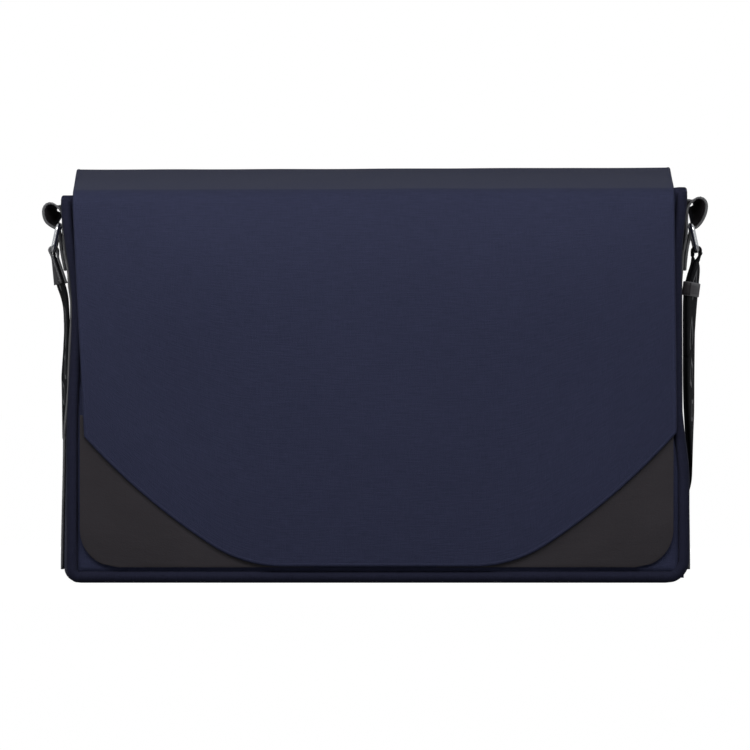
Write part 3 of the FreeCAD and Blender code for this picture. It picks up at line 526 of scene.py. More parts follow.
def rim_line(y):
    """The bag's outline seen from the front, left top to right top: (place, inward) pairs."""
    line = []
    for side in (-1, 1):
        radius = CORNER_RADIUS[side]
        top = END_LEVEL[side]
        heights = [lerp(top, radius, s) for s in steps(40)]
        leg = [(Vector((wall(side, y, z), 0, z)), Vector((-side, 0, 0))) for z in heights]
        centre = Vector((wall(side, y, radius) - side * radius, 0, radius))
        for share in steps(8)[1:]:
            turn = share * math.pi / 2
            out = Vector((side * math.cos(turn), 0, -math.sin(turn)))
            leg.append((centre + out * radius, -out))
        line.append(leg)
    left, right = line[0], line[1][::-1]
    start, end = left[-1][0], right[0][0]
    middle = [(start.lerp(end, s), Vector((0, 0, 1))) for s in steps(48)[1:-1]]
    return left + middle + right


BORDER_SECTION = [
    (0.3, -9.0), (-0.4, -5.0), (-0.6, -1.6), (-0.1, 0.6), (1.2, 2.1), (3.2, 2.9), (5.0, 2.5),
    (6.3, 1.3), (6.8, -0.3), (6.6, -2.2), (5.4, -3.2), (3.0, -3.2), (1.8, -3.2), (1.5, -9.0),
]
GROOVE_DEPTH, GROOVE_START, GROOVE_END = 2.8 * MM, 5.5 * MM, 10 * MM


def make_borders():
    """The rounded, padded borders that frame the front and back panels."""
    for word, y, out in FACES:
        frames = []
        for at, inward in rim_line(y):
            swell = 1 + 0.08 * ripple(at.x, at.z, 0.03, 3 + out)
            place = Vector((at.x, y, max(at.z, 0.7 * MM)))
            frames.append((place, inward, Vector((0, out * swell, 0))))
        section = [(a * MM, b * MM) for a, b in BORDER_SECTION]
        if out < 0:
            frames = frames[::-1]
        # The borders take the darker copy of the navy nylon, as painted shade.
        piece = sweep(word + "_border_roll", frames, section, NAVY_SHADED)
        add_modifier(piece, "SUBSURF", levels=1, render_levels=2)
        settle(piece, "nylon", word + "_border")


def panel_rows(y, out, inset):
    """Rows of points over a front or back panel, close together near the border's groove."""
    def place(turn, down):
        s = math.sin(turn * math.pi / 2)
        side = side_of(s)
        top = mouth(s * HALF_WIDTH, y) - 0.5 * MM
        z = lerp(top, inset, math.sin(down * math.pi / 2))
        edge = abs(wall(side, y, z)) - inset
        x = s * edge
        groove = min(edge + inset - abs(x), z)
        dip = GROOVE_DEPTH * (1 - smooth((groove - GROOVE_START) / (GROOVE_END - GROOVE_START)))
        bulge = 0.4 * MM * (1 - s * s) + 0.3 * MM * ripple(x, z, 0.045, 11)
        return Vector((x, y + out * (bulge - dip), z))

    turns = [2 * k - 1 for k in steps(130)]
    return grid(steps(70), turns if out < 0 else turns[::-1], place)


def make_panels():
    """Front and back panels and the one-piece gusset round the ends and bottom."""
    for word, y, out in FACES:
        piece = sheet_piece(word + "_panel_cloth", panel_rows(y, out, 3.2 * MM), NAVY, FABRIC)
        settle(piece, "nylon", word + "_panel", word + "_foam")

    depths = [lerp(FRONT + FABRIC, BACK - FABRIC, s) for s in steps(30)]
    lines = [rim_line(y) for y in depths]
    rows = [[Vector((line[i][0].x, y, line[i][0].z)) for y, line in zip(depths, lines)]
            for i in range(len(lines[0]))]
    piece = sheet_piece("gusset_cloth", rows, NAVY, FABRIC)
    settle(piece, "nylon", "bottom_gusset", "side_gusset_left", "side_gusset_right", "base_board")


PATCH_SHIFT = {-1: -0.7 * MM, 1: 1.4 * MM}


def make_patches():
    """The two smooth leather corners on the front panel."""
    for side, word in SIDES:
        low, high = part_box("corner_patch_" + word)
        outer = max(abs(low.x), abs(high.x)) + PATCH_SHIFT[side]
        inner = min(abs(low.x), abs(high.x))
        radius = 24 * MM
        rows = []
        for share in steps(44):
            z = lerp(high.z - MM, low.z, share)
            dip = max(low.z + radius - z, 0)
            edge = outer - radius + math.sqrt(radius ** 2 - dip ** 2)
            start = lerp(inner, outer, (z - low.z) / (high.z - low.z))
            row = []
            for s in steps(48)[::side]:
                x = side * lerp(start, edge, s)
                swell = 0.45 * MM * ripple(x, z, 0.05, 21) + 0.5 * MM * math.sin(math.pi * share)
                row.append(Vector((x, low.y - swell, z)))
            rows.append(row)
        piece = sheet_piece("corner_leather_" + word, rows, LEATHER, 1.8 * MM, 0.6 * MM)
        settle(piece, "leather", "corner_patch_" + word)


# ---- flap

FLAP_HALF = {
    -1: {"rear": 0.1928, "fold": 0.1922, "low": 0.1850},
    1: {"rear": 0.1907, "fold": 0.1904, "low": 0.1920},
}
FLAP_FACE = FLAP_LOW.y
FLAP_HEM = FLAP_LOW.z
FLAP_REAR_TOP = 0.2672
FOLD_TOP = 0.2508
FLAP_BULGE = 7 * MM
HEM_SMALL, HEM_LARGE = 0.084, 0.409
HEM_MID_SLOPE, HEM_SIDE_SLOPE = math.radians(33), math.radians(48)
HEM_SHIFT = {-1: 3.5 * MM, 1: -1.0 * MM}
REAR_SEAM, REAR_GAP = 0.234, 3.6 * MM    # the flap's rear end, and how far off the back
REAR_RADIUS, FOLD_RADIUS = 5 * MM, 9 * MM
FRONT_DROP = 14 * MM     # how far below its fold the flap's front begins to hang
HEM_LEVEL, FOLD_LEVEL = 0.094, 0.2388   # between these the flap's sides taper
FLAP_LIFT = 0.7 * MM     # how much higher the right end of the flap lies


def hem_height(x):
    """The flap's lower edge: level, then a small arc, then a long one, out to its sides."""
    side = side_of(x)
    reach = abs(x) + HEM_SHIFT[side]
    small_run = HEM_SMALL * math.sin(HEM_MID_SLOPE)
    large_run = HEM_LARGE * (math.sin(HEM_SIDE_SLOPE) - math.sin(HEM_MID_SLOPE))
    start = FLAP_HIGH.x - large_run - small_run
    if reach <= start:
        return FLAP_HEM
    if reach <= start + small_run:
        rise = HEM_SMALL - math.sqrt(HEM_SMALL ** 2 - (reach - start) ** 2)
        return FLAP_HEM + rise
    across = reach - start - small_run + HEM_LARGE * math.sin(HEM_MID_SLOPE)
    rise = HEM_LARGE * math.cos(HEM_MID_SLOPE) - math.sqrt(HEM_LARGE ** 2 - across ** 2)
    return FLAP_HEM + HEM_SMALL * (1 - math.cos(HEM_MID_SLOPE)) + rise


def flap_width(side, y, z):
    half = FLAP_HALF[side]
    if z > FOLD_TOP - 12 * MM:
        return lerp(half["fold"], half["rear"], clamp((y - FRONT) / DEPTH))
    share = clamp((z - HEM_LEVEL) / (FOLD_LEVEL - HEM_LEVEL))
    return lerp(half["low"], half["fold"], share)


def flap_bulge(s, z):
    """How far the flap's front stands out from its hanging plane."""
    share = clamp((z - FLAP_HEM) / (FOLD_TOP - FLAP_HEM))
    level = math.sin(math.pi * share ** 3)
    return FLAP_BULGE * level * (1 - 0.5 * abs(s) ** 6)


def flap_rows(inset=0.0, depth=0.0):
    """The flap's face in rows from its rear seam to its hem, with the row number of the middle.

    inset draws its edges in, and depth moves the face inward, for the lining.
    """
    rear_face = BACK + REAR_GAP - depth
    front_face = FLAP_FACE + depth
    top = rounded_path([
        (rear_face, REAR_SEAM + inset, 0),
        (rear_face, FLAP_REAR_TOP - depth, REAR_RADIUS - depth / 2),
        (front_face, FOLD_TOP - depth, FOLD_RADIUS - depth / 2),
        (front_face, FOLD_TOP - FRONT_DROP, 0),
    ])
    shares = [2 * k - 1 for k in steps(120)]

    def over(s, at):
        y, z = at
        x = s * (flap_width(side_of(s), y, z) - inset)
        sag = 0.5 * MM * ripple(x, y, 0.06, 31)
        back = flap_bulge(s, z) if y < 0 else 0
        return Vector((x, y - back, z + sag + FLAP_LIFT * x / HALF_WIDTH))

    def hanging(s, share):
        side = side_of(s)
        hem = hem_height(s * FLAP_HALF[side]["low"]) + inset
        z = lerp(FOLD_TOP - FRONT_DROP, hem, share)
        x = s * (flap_width(side, front_face, z) - inset)
        wave = 0.55 * MM * ripple(x, z, 0.07, 41) * math.sin(math.pi * min(share, 0.97))
        return Vector((x, front_face - flap_bulge(s, z) - wave,
                       z + FLAP_LIFT * x / HALF_WIDTH * (1 - share)))

    rows = grid(top, shares, over) + grid(steps(84)[1:], shares, hanging)
    middle = min(range(len(top)), key=lambda i: abs(top[i][0]))
    return rows, middle


def edge_roll(name, places, inward):
    """A thin rolled edge along the flap's rim; inward points from it into the flap."""
    frames = [(at + into * 0.5 * MM, into, out) for at, into, out in frames_along(places, inward)]
    piece = sweep(name, frames, oval(1.5 * MM, 1.35 * MM, 12), NAVY)
    return piece


def make_flap_edges(depth):
    """The rolled edges down both sides of the flap and along its hem."""
    rows, middle = flap_rows(0.3 * MM, depth)

    def edge(part, column, way):
        places = [row[column] for row in part]
        return places, [row[column + way] - row[column] for row in part]

    for side, column, way in (("left", 0, 1), ("right", -1, -1)):
        places, inward = edge(rows[:middle + 1], column, way)
        piece = edge_roll("flap_rear_edge_" + side, places, inward)
        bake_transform(piece)
    left, left_in = edge(rows[middle:], 0, 1)
    right, right_in = edge(rows[middle:], -1, -1)
    hem = rows[-1][1:-1]
    hem_in = [above - at for above, at in zip(rows[-2][1:-1], hem)]
    places = left + hem + right[::-1]
    piece = edge_roll("flap_front_edge", places, left_in + hem_in + right_in[::-1])
    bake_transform(piece)


def make_flap():
    """The flap: one cloth from the back seam over the top and down the front, and its lining."""
    for word, inset, depth, thick, material in (
        ("cloth", 0.0, 0.0, 2.3 * MM, NAVY), ("inside", 5 * MM, 2.4 * MM, 0.6 * MM, LINING),
    ):
        rows, middle = flap_rows(inset, depth)
        rear = sheet_piece("flap_rear_" + word, [r[::-1] for r in rows[:middle + 1]], material,
                           thick)
        front = sheet_piece("flap_front_" + word, [r[::-1] for r in rows[middle:]], material,
                            thick)
        if word == "cloth":
            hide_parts("flap_top_outer", "flap_top_stiffener", "flap_anchor")
            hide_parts("flap_front_outer", "flap_front_stiffener")
            make_flap_edges(thick / 2)
        else:
            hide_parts("flap_top_lining")
            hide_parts("flap_front_lining")
        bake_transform(rear)
        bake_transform(front)


# ---- straps

STRAP_LEFT = [
    (-206.4, 0, 211, 0, 0.5), (-204.9, 0, 203, 0, 4), (-202.6, 0, 192, 0, 8),
    (-199.9, 0, 184.5, 0, 7), (-198.6, 0, 176, 0, 5), (-198.3, 0, 166, 0, 5),
    (-198.3, 2, 157, 3, 5), (-198.6, 8, 145, 18, 5),
    (-199.0, 22, 133, 40, 6), (-200.2, 42, 122, 56, 6),
    (-202.4, 63, 113, 64, 2), (-202.4, 82, 106, 62, 0), (-196, 97, 97, 56, 0),
    (-180, 108, 82, 46, 0), (-160, 116, 60, 32, 0), (-138, 121, 36, 18, 0),
    (-114, 122, 14, 6, 0), (-92, 122, 3.4, 0, 0),
]
STRAP_FLOOR = [
    (-76, 122, 1.0, 0, 0), (-58, 122, 1.0, 0, 0), (-46, 122, 1.0, 0, 0), (-36, 122, 1.0, 0, 0),
    (-29, 122, 1.6, 0, 0), (-24, 122, 8.4, 0, 0), (-16, 122, 8.4, 0, 0), (-11, 122, 3.1, 0, 0),
    (-4, 122, 2.9, 0, 0), (8, 122, 2.9, 0, 0), (24, 122, 2.9, 0, 0), (42, 122, 2.9, 0, 0),
]
STRAP_RIGHT = [
    (62, 122, 2.9, 0, 0), (84, 122, 3.0, 0, 0), (106, 121.5, 5.5, 2, 0), (128, 120, 13, 8, 0),
    (150, 117, 25, 18, 0), (172, 111, 40, 28, 0), (189, 103, 53, 36, 0), (199.5, 93, 64, 41, 0),
    (203.4, 79, 76, 43, 1), (203.6, 60, 91, 42, 3), (202.6, 41, 107, 41, 5),
    (201.6, 23, 123, 34, 7), (201.1, 8, 141, 18, 8), (201.0, 1, 156, 3, 8),
    (201.2, 0, 168, 0, 9), (201.7, 0, 180, 0, 10.5), (202.3, 0, 188, 0, 10.5),
    (203.7, 0, 196, 0, 9), (205.1, 0, 203, 0, 6), (204.5, 0, 208.5, 0, 2), (204.37, 0, 213, 0, 0),
]
LAYER_STEP = 2.0 * MM
RING_WIRE = 3 * MM
WEBBING_THICKNESS = 1.6 * MM
SWAP_HEIGHT = 0.150      # above this the webbing swings with the ring
FLOOR_START, SLIDER_MIDDLE, TAIL_START = -0.067, -0.020, 0.052   # behind the bag, along X
RING_NEAR, RING_REACH = 0.2045, 0.005    # where the doubled layers begin to part


def route_frames(route, per_span=6):
    """Frames along a strap route of (x, y, z, lean, twist), in millimetres and degrees."""
    samples = spline([(x * MM, y * MM, z * MM, lean) for x, y, z, lean, _ in route], per_span)
    twists = spline([(p[4], 0, 0, 0) for p in route], per_span)
    places = [Vector(s[:3]) for s in samples]
    leans = [math.radians(s[3]) for s in samples]
    flat = frames_along(places, [Vector((0, math.cos(a), math.sin(a))) for a in leans])
    frames = []
    for (at, wide, normal), twist in zip(flat, twists):
        turn = math.radians(twist[0])
        across = wide * math.cos(turn) - normal * math.sin(turn)
        through_band = normal * math.cos(turn) + wide * math.sin(turn)
        frames.append((at, across, through_band))
    return frames


def shifted(frames, distance, spread=0.0):
    """The same band moved off its face, and further off where it nears the ring."""
    moved = []
    for at, wide, normal in frames:
        more = spread * smooth((at.z - RING_NEAR) / RING_REACH)
        moved.append((at + normal * (distance - more), wide, normal))
    return moved


def webbing_piece(name, frames, along=0.0, nodes=()):
    """A length of the shoulder strap's webbing; hides the frame's nodes that it stands for."""
    section = band_section(WEBBING_WIDTH, WEBBING_THICKNESS)
    piece = sweep(name, frames, section, WEBBING, along=along)
    if nodes:
        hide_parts(*nodes)
    return piece


def over_bar(side, radius, low, bar, twist=0.0, lean=0.0, pinch=1.0):
    """A band folded over a ring's bottom bar, its two ends down to low: bag side first."""
    half = [(-radius, lerp(low, 0, s)) for s in steps(14)[:-1]]
    half += [(-radius * math.cos(a), radius * math.sin(a))
             for a in (math.pi * s for s in steps(16))]
    half += [(radius, lerp(0, low, s)) for s in steps(14)[1:]]
    places, wides = [], []
    for x, z in half:
        share = clamp(z / low)
        turn = math.radians(twist) * share
        squeeze = lerp(1, pinch, smooth(3.5 * share))
        inward = side * math.tan(math.radians(lean)) * min(z, 0)
        places.append(bar + Vector((side * x * squeeze + inward, 0, z)))
        wides.append(Vector((side * math.sin(turn), math.cos(turn), 0)))
    return frames_along(places, wides)


def bar_of(word):
    """The middle of a ring's bottom bar."""
    low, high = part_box("ring_" + word)
    side = -1 if word == "left" else 1
    outer = low.x if side < 0 else high.x
    return Vector((outer - side * RING_WIRE / 2, 0, low.z + RING_WIRE / 2))


def make_left_strap():
    """The webbing on the left: from inside its leather tab, down and round to the floor."""
    frames = route_frames(STRAP_LEFT + STRAP_FLOOR[:2])
    swap = next(i for i, f in enumerate(frames) if f[0].z < SWAP_HEIGHT)
    top = webbing_piece("webbing_left_top", frames[:swap + 1], 0.0, ["strap_webbing_left"])
    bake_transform(top)
    side = webbing_piece("webbing_left_side", frames[swap:], length_of(frames[:swap + 1]))
    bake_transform(side)
    return length_of(frames)


def make_floor_strap(along):
    """The webbing on the floor behind the bag, through the slider."""
    poles = STRAP_LEFT[-2:] + STRAP_FLOOR + STRAP_RIGHT[:2]
    frames = route_frames(poles, 8)
    start = first_past(frames, 0, FLOOR_START)
    centre = first_past(frames, 0, SLIDER_MIDDLE)
    end = first_past(frames, 0, TAIL_START)
    left = webbing_piece("webbing_floor_left", frames[start:centre + 1], along, ["strap_webbing"])
    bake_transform(left)
    along += length_of(frames[start:centre + 1])
    right = webbing_piece("webbing_floor_right", frames[centre:end + 1], along)
    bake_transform(right)
    return along + length_of(frames[centre:end + 1])


def make_right_strap(along):
    """Both layers on the right, and the fold over the ring that joins them."""
    bar = bar_of("right")
    radius = RING_WIRE / 2 + WEBBING_THICKNESS / 2 + 0.1 * MM
    frames = route_frames(STRAP_FLOOR[-2:] + STRAP_RIGHT)
    start = first_past(frames, 0, TAIL_START)
    swap = first_past(frames, 2, SWAP_HEIGHT)
    main = frames[start:swap + 1]
    side = webbing_piece("webbing_right_side", main, along)
    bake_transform(side)
    along += length_of(main)

    spread = 2 * radius - LAYER_STEP
    doubled = shifted(route_frames(STRAP_FLOOR[-4:] + STRAP_RIGHT), -LAYER_STEP, spread)
    turn = first_past(doubled, 2, SWAP_HEIGHT)
    split = first_past(doubled, 0, TAIL_START)
    rise = [f for f in frames[swap:] if f[0].z < bar.z - 4 * MM]
    fall = [f for f in doubled[turn:] if f[0].z < bar.z - 4 * MM]
    cap = over_bar(1, radius, -3 * MM, bar)
    fold = rebuilt(rise + cap + fall[::-1])
    top = webbing_piece("webbing_right_top", fold, along, ["strap_fold_right"])
    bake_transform(top)
    along += length_of(fold)

    back = doubled[split:turn + 1][::-1]
    lower = webbing_piece("webbing_return_side", rebuilt(back), along, ["strap_return"])
    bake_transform(lower)
    make_keeper(next(f for f in frames[start:] if f[0].z > KEEPER_LEVEL))
    along += length_of(back)
    tail = doubled[:split + 1][::-1]
    floor = webbing_piece("webbing_return_floor", rebuilt(tail), along)
    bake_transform(floor)
    return along + length_of(tail)


def make_end_loop():
    """The webbing's end, sewn round the slider's middle bar."""
    low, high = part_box("strap_end_loop")
    radius = 2.1 * MM
    centre = Vector((low.x + radius + WEBBING_THICKNESS / 2, (low.y + high.y) / 2,
                     high.z - radius - WEBBING_THICKNESS / 2))
    path = [(lerp(high.x, centre.x, s), lerp(low.z + WEBBING_THICKNESS / 2, centre.z - radius, s))
            for s in steps(10)[:-1]]
    path += [(centre.x - radius * math.sin(a), centre.z - radius * math.cos(a))
             for a in (1.5 * math.pi * s for s in steps(14))]
    places = [Vector((x, centre.y, z)) for x, z in path]
    frames = frames_along(places, [Vector((0, 1, 0))] * len(places))
    piece = webbing_piece("webbing_end_loop", frames, 0.0, ["strap_end_loop"])
    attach(piece, "strap_slider")


def make_tab():
    """The leather tab on the left ring, with two rows of stitches."""
    bar = bar_of("left")
    thick = 1.6 * MM
    radius = RING_WIRE / 2 + thick / 2 + 0.1 * MM
    frames = over_bar(-1, radius, -21.5 * MM, bar, twist=8, lean=12, pinch=0.68)
    section = band_section(WEBBING_WIDTH, thick)
    piece = sweep("tab_leather_left", frames, section, [LEATHER, LEATHER_EDGE], edges=BAND_EDGES)
    settle(piece, "leather", "strap_tab_left", body="strap_end_left")
    places = []
    for drop in (-9.5 * MM, -19 * MM):
        at, wide, normal = min(frames[len(frames) // 2:], key=lambda f: abs(f[0].z - bar.z - drop))
        for share in steps(11):
            places.append((at - wide * lerp(-16.5 * MM, 16.5 * MM, share), wide, normal))
    stitches = stitch_piece("tab_stitches_left", places, GREY_THREAD, thick / 2)
    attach(stitches, "strap_end_left")


STITCH_LENGTH = 2.2 * MM


def stitch_piece(name, places, material, lift, thread=0.55 * MM):
    """Stitches lying on a face: each place is (middle, along, out of the face)."""
    points, faces, uvs = [], [], []
    profile = oval(1, 1, 6)
    for at, along, out in places:
        along = along.normalized()
        side = along.cross(out).normalized()
        base = len(points)
        rings = ((-0.5, 0.35), (-0.36, 0.9), (0, 1.0), (0.36, 0.9), (0.5, 0.35))
        for run, fat in rings:
            rise = lift + thread * 0.25 * math.cos(math.pi * run)
            centre = at + along * (run * STITCH_LENGTH) + out * rise
            for c, s in profile:
                points.append(centre + (side * c + out * s) * (thread / 2 * fat))
        for i in range(len(rings) - 1):
            for j in range(6):
                k = (j + 1) % 6
                faces.append((base + i * 6 + j, base + i * 6 + k,
                              base + (i + 1) * 6 + k, base + (i + 1) * 6 + j))
                uvs += [(0, 0), (1, 0), (1, 1), (0, 1)]
    return make_piece(name, points, faces, uvs, material)


KEEPER_LEVEL = 0.187


def make_keeper(layer):
    """The leather keeper round the fold's two layers; layer is the inner one's frame there."""
    at, wide, normal = layer
    centre = at - normal * LAYER_STEP / 2
    along = wide.cross(normal)
    half_wide = WEBBING_WIDTH / 2 + 0.9 * MM
    half_thick = (LAYER_STEP + WEBBING_THICKNESS) / 2 + 0.5 * MM
    frames = []
    for arc in corner_arcs(half_wide, half_thick, 1.3 * MM, 5):
        frames += [(centre + wide * place.x + normal * place.y, along,
                    wide * way.x + normal * way.y) for place, way in arc]
    piece = sweep("keeper_leather_right", frames, band_section(9 * MM, 0.9 * MM),
                  [LEATHER, LEATHER_EDGE], closed=True, edges=BAND_EDGES)
    settle(piece, "leather", "strap_keeper_right", body="strap_end_right")


LOOP_LEVEL = {-1: 0.2362, 1: 0.2398}
LOOP_ROOT = 0.2100       # where the side strap leaves the end wall


def side_strap_path(side):
    """Up the end wall, outward round the loop, and back down against itself: (x, z, twist)."""
    level = LOOP_LEVEL[side]
    thick = 1.8 * MM
    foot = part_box("side_strap_left")[0].z
    path = []
    for share in steps(50):
        z = lerp(foot, LOOP_ROOT, share)
        path.append((abs(wall(side, 0, z)) + thick / 2 + 0.2 * MM, z, 0))
    root = path[-1][0]
    rise = [
        (root, LOOP_ROOT, 0), (0.2000, 0.2190, 0), (0.2002, level - 5 * MM, 0),
        (0.2004, level, 0), (0.2006, level + 4.6 * MM, 8), (0.2076, level + 5.2 * MM, 18),
        (0.2078, level - 3 * MM, 16), (0.2062, 0.2288, 6), (0.2034, 0.2262, 0),
        (0.2022, 0.2212, 0), (root + thick + 0.6 * MM, 0.2120, 0),
        (abs(wall(side, 0, 0.2)) + 1.5 * thick + 0.4 * MM, 0.2000, 0),
    ]
    path += [(p[0], p[1], p[2]) for p in spline([(*v, 0) for v in rise], 7)[1:]]
    return [(side * x, z, twist) for x, z, twist in path]


def make_side_straps():
    """Leather strips sewn up the end walls, each turned into the loop that holds a ring."""
    width, thick = WEBBING_WIDTH, 1.8 * MM
    for side, word in SIDES:
        path = side_strap_path(side)
        places = [Vector((x, 0, z)) for x, z, _ in path]
        turns = [math.radians(twist) for _, _, twist in path]
        wides = [Vector((math.sin(t), -side * math.cos(t), 0)) for t in turns]
        frames = frames_along(places, wides)
        piece = sweep("side_strap_leather_" + word, frames, band_section(width, thick),
                      [LEATHER, LEATHER_EDGE], edges=BAND_EDGES)
        settle(piece, "leather", "side_strap_" + word)
        stitches = []
        for edge in (-1, 1):
            for share in steps(62):
                z = lerp(0.011, 0.205, share)
                x = wall(side, 0, z) + side * (thick + 0.2 * MM)
                stitches.append((Vector((x, edge * (width / 2 - 2.5 * MM), z)),
                                 Vector((0, 0, 1)), Vector((side, 0, 0))))
        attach(stitch_piece("side_strap_stitches_" + word, stitches, THREAD, -0.2 * MM,
                             0.42 * MM), "bag")


# ---- inside

ROOM_HALF_Y = 0.0556
ROOM_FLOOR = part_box("lining")[0].z + 0.8 * MM
FACING_HEIGHT = 26 * MM


def loop_around(half_x, half_y, radius):
    """A rounded rectangle, counter-clockwise from above: points with their outward way."""
    corners = corner_arcs(half_x, half_y, radius, 6)
    loop = []
    for i, arc in enumerate(corners):
        follower = corners[(i + 1) % 4][0]
        loop += arc
        loop += [(arc[-1][0].lerp(follower[0], s), arc[-1][1])
                 for s in steps(16 if i % 2 else 44)[1:-1]]
    return loop


def make_lining():
    """The lining: walls with soft wrinkles, rounded into a floor."""
    half_x, radius = HALF_WIDTH, 10 * MM
    rows = []

    def add_row(inset, height_of):
        row = []
        reach = max(radius - inset, 0.3 * MM)
        for at, out in loop_around(half_x - inset, ROOM_HALF_Y - inset, reach):
            side = side_of(at.x)
            z = height_of(at)
            x = at.x * (abs(wall(side, at.y, z)) - 1.8 * MM) / half_x
            crease = 0.8 * MM * (0.5 + 0.5 * ripple(at.x + 0.7 * at.y, z, 0.05, 51))
            row.append(Vector((x - out.x * crease, at.y - out.y * crease, z)))
        rows.append(row)

    for share in steps(36):
        add_row(0, lambda at, share=share: lerp(mouth(at.x, at.y) - FACING_HEIGHT + 3 * MM,
                                                ROOM_FLOOR + radius, share))
    for share in steps(5)[1:]:
        turn = share * math.pi / 2
        add_row(radius * (1 - math.cos(turn)),
                lambda at, turn=turn: ROOM_FLOOR + radius * (1 - math.sin(turn)))
    for share in steps(9)[1:]:
        add_row(lerp(radius, ROOM_HALF_Y - 0.4 * MM, share), lambda at: ROOM_FLOOR)
    piece = sheet_piece("lining_cloth", rows, LINING, 0.6 * MM, closed=True)
    settle(piece, "lining", "lining")


def make_facing():
    """The facing that binds the bag's open edge and runs down inside it."""
    section = ((-0.04, -6, -0.3), (-0.06, -2, -0.3), (0.0, 0.1, -0.1), (0.2, 1.0, 0),
               (0.5, 1.3, 0), (0.8, 1.0, 0), (1.0, 0.0, 0.1), (1.03, -6, 0.1),
               (1.03, -14, 0.1), (1.03, -26, 0.1))
    rows = []
    for across, height, more in section:
        row = []
        for at, out in loop_around(HALF_WIDTH, -FRONT, 5 * MM):
            side = side_of(at.x)
            thick = lerp(2.6 * MM, 6.6 * MM, out.y ** 2)
            z = mouth(at.x, at.y) + height * MM
            x = at.x * abs(wall(side, at.y, z)) / HALF_WIDTH
            deep = across * thick + more * MM
            soft = 0.3 * MM * ripple(at.x, at.y, 0.03, 61)
            row.append(Vector((x - out.x * deep, at.y - out.y * deep, z + soft)))
        rows.append(row)
    piece = sheet_piece("mouth_facing_cloth", rows, NAVY_SHADED, 0.5 * MM, closed=True)
    settle(piece, "nylon", "mouth_facing")


def pocket_path(side, grow):
    """A bottle pocket's three-sided outline from above, open to the end wall."""
    low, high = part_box("bottle_pocket_left")
    near, far = abs(low.x) - 0.5 * MM, abs(high.x) - grow
    half = high.y + grow
    corner = 28 * MM + grow
    flat = rounded_path([(near, -half, 0), (far, -half, corner), (far, half, corner),
                         (near, half, 0)])
    return [Vector((side * p.x, side * p.y)) for p in flat]


def pocket_rows(side, high, low, count, grow, pleat, pitch):
    """Rows round a bottle pocket; pleats gather its top edge."""
    path = pocket_path(side, grow)
    root = abs(path[0].x)
    rows = []
    for share in steps(count):
        z = lerp(high, low, share)
        row, run = [], 0.0
        for i, at in enumerate(path):
            before, after = path[max(i - 1, 0)], path[min(i + 1, len(path) - 1)]
            run += (at - before).length
            out = Vector(((after - before).y, -(after - before).x)).normalized() * side
            fade = min(1, min(i, len(path) - 1 - i) / 6)
            gather = pleat * (1 - share) ** 1.5 * math.sin(2 * math.pi * run / pitch)
            draw = -4 * MM * (1 - share) ** 2 if count > 6 else -4 * MM
            swell = 1.5 * MM * math.sin(math.pi * share) if count > 6 else 0
            offset = fade * (gather + draw + swell)
            place = at + out * offset
            reach = min(abs(place.x), abs(wall(side, place.y, z)) - 3.2 * MM)
            row.append(Vector((side * reach, place.y, z)))
        rows.append(row)
    return rows, root


def make_bottle_pockets():
    """Gathered pockets on both end walls, with an elastic band round the top of each."""
    for side, word in SIDES:
        low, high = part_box("bottle_pocket_" + word)
        rows, root = pocket_rows(side, high.z, low.z, 26, 0, 1.1 * MM, 11 * MM)
        middle = Vector((side * (root - 24 * MM), 0, low.z))
        for share in steps(6)[1:]:
            rows.append([p.lerp(middle, share * 0.98) for p in rows[26]])
        piece = sheet_piece("bottle_pocket_cloth_" + word, rows, LINING, 0.8 * MM)
        settle(piece, "lining", "bottle_pocket_" + word)
        low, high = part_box("pocket_elastic_" + word)
        rows, _ = pocket_rows(side, high.z, low.z, 6, 1.5 * MM, 0.9 * MM, 5 * MM)
        piece = sheet_piece("pocket_band_" + word, rows, ELASTIC, 1.2 * MM)
        settle(piece, "elastic", "pocket_elastic_" + word)


def make_slip_pocket():
    """A flat pocket in two halves on the front wall inside, with a turned hem."""
    low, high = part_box("slip_pocket")
    full = high.y - low.y

    def rows_between(top, bottom, count, lift):
        def place(s, share):
            x, z = lerp(low.x, high.x, s), lerp(top, bottom, share)
            rise = (z - low.z) / (high.z - low.z)
            half = abs(math.sin(2 * math.pi * s)) ** 0.45
            open_out = full * (0.45 + 0.5 * rise) * half * min(1, rise * 9 + 0.05)
            soft = 0.4 * MM * ripple(x, z, 0.03, 71)
            return Vector((x, low.y + 0.4 * MM + lift + max(open_out + soft, 0), z))
        return grid(steps(count), steps(72), place)

    piece = sheet_piece("slip_pocket_cloth", rows_between(high.z, low.z, 34, 0), LINING, 0.7 * MM)
    settle(piece, "lining", "slip_pocket")
    hem_rows = rows_between(high.z + 0.4 * MM, high.z - 9 * MM, 5, 0.5 * MM)
    hem = sheet_piece("slip_pocket_hem", hem_rows, NAVY_SHADED, 0.6 * MM)
    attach(hem, "bag")
    lines = []
    for x in (low.x + 2 * MM, 0, high.x - 2 * MM):
        for share in steps(34):
            z = lerp(low.z + 2 * MM, high.z - 3 * MM, share)
            lines.append((Vector((x, low.y + 1.1 * MM, z)), Vector((0, 0, 1)), Vector((0, 1, 0))))
    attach(stitch_piece("slip_pocket_stitches", lines, THREAD, 0), "bag")


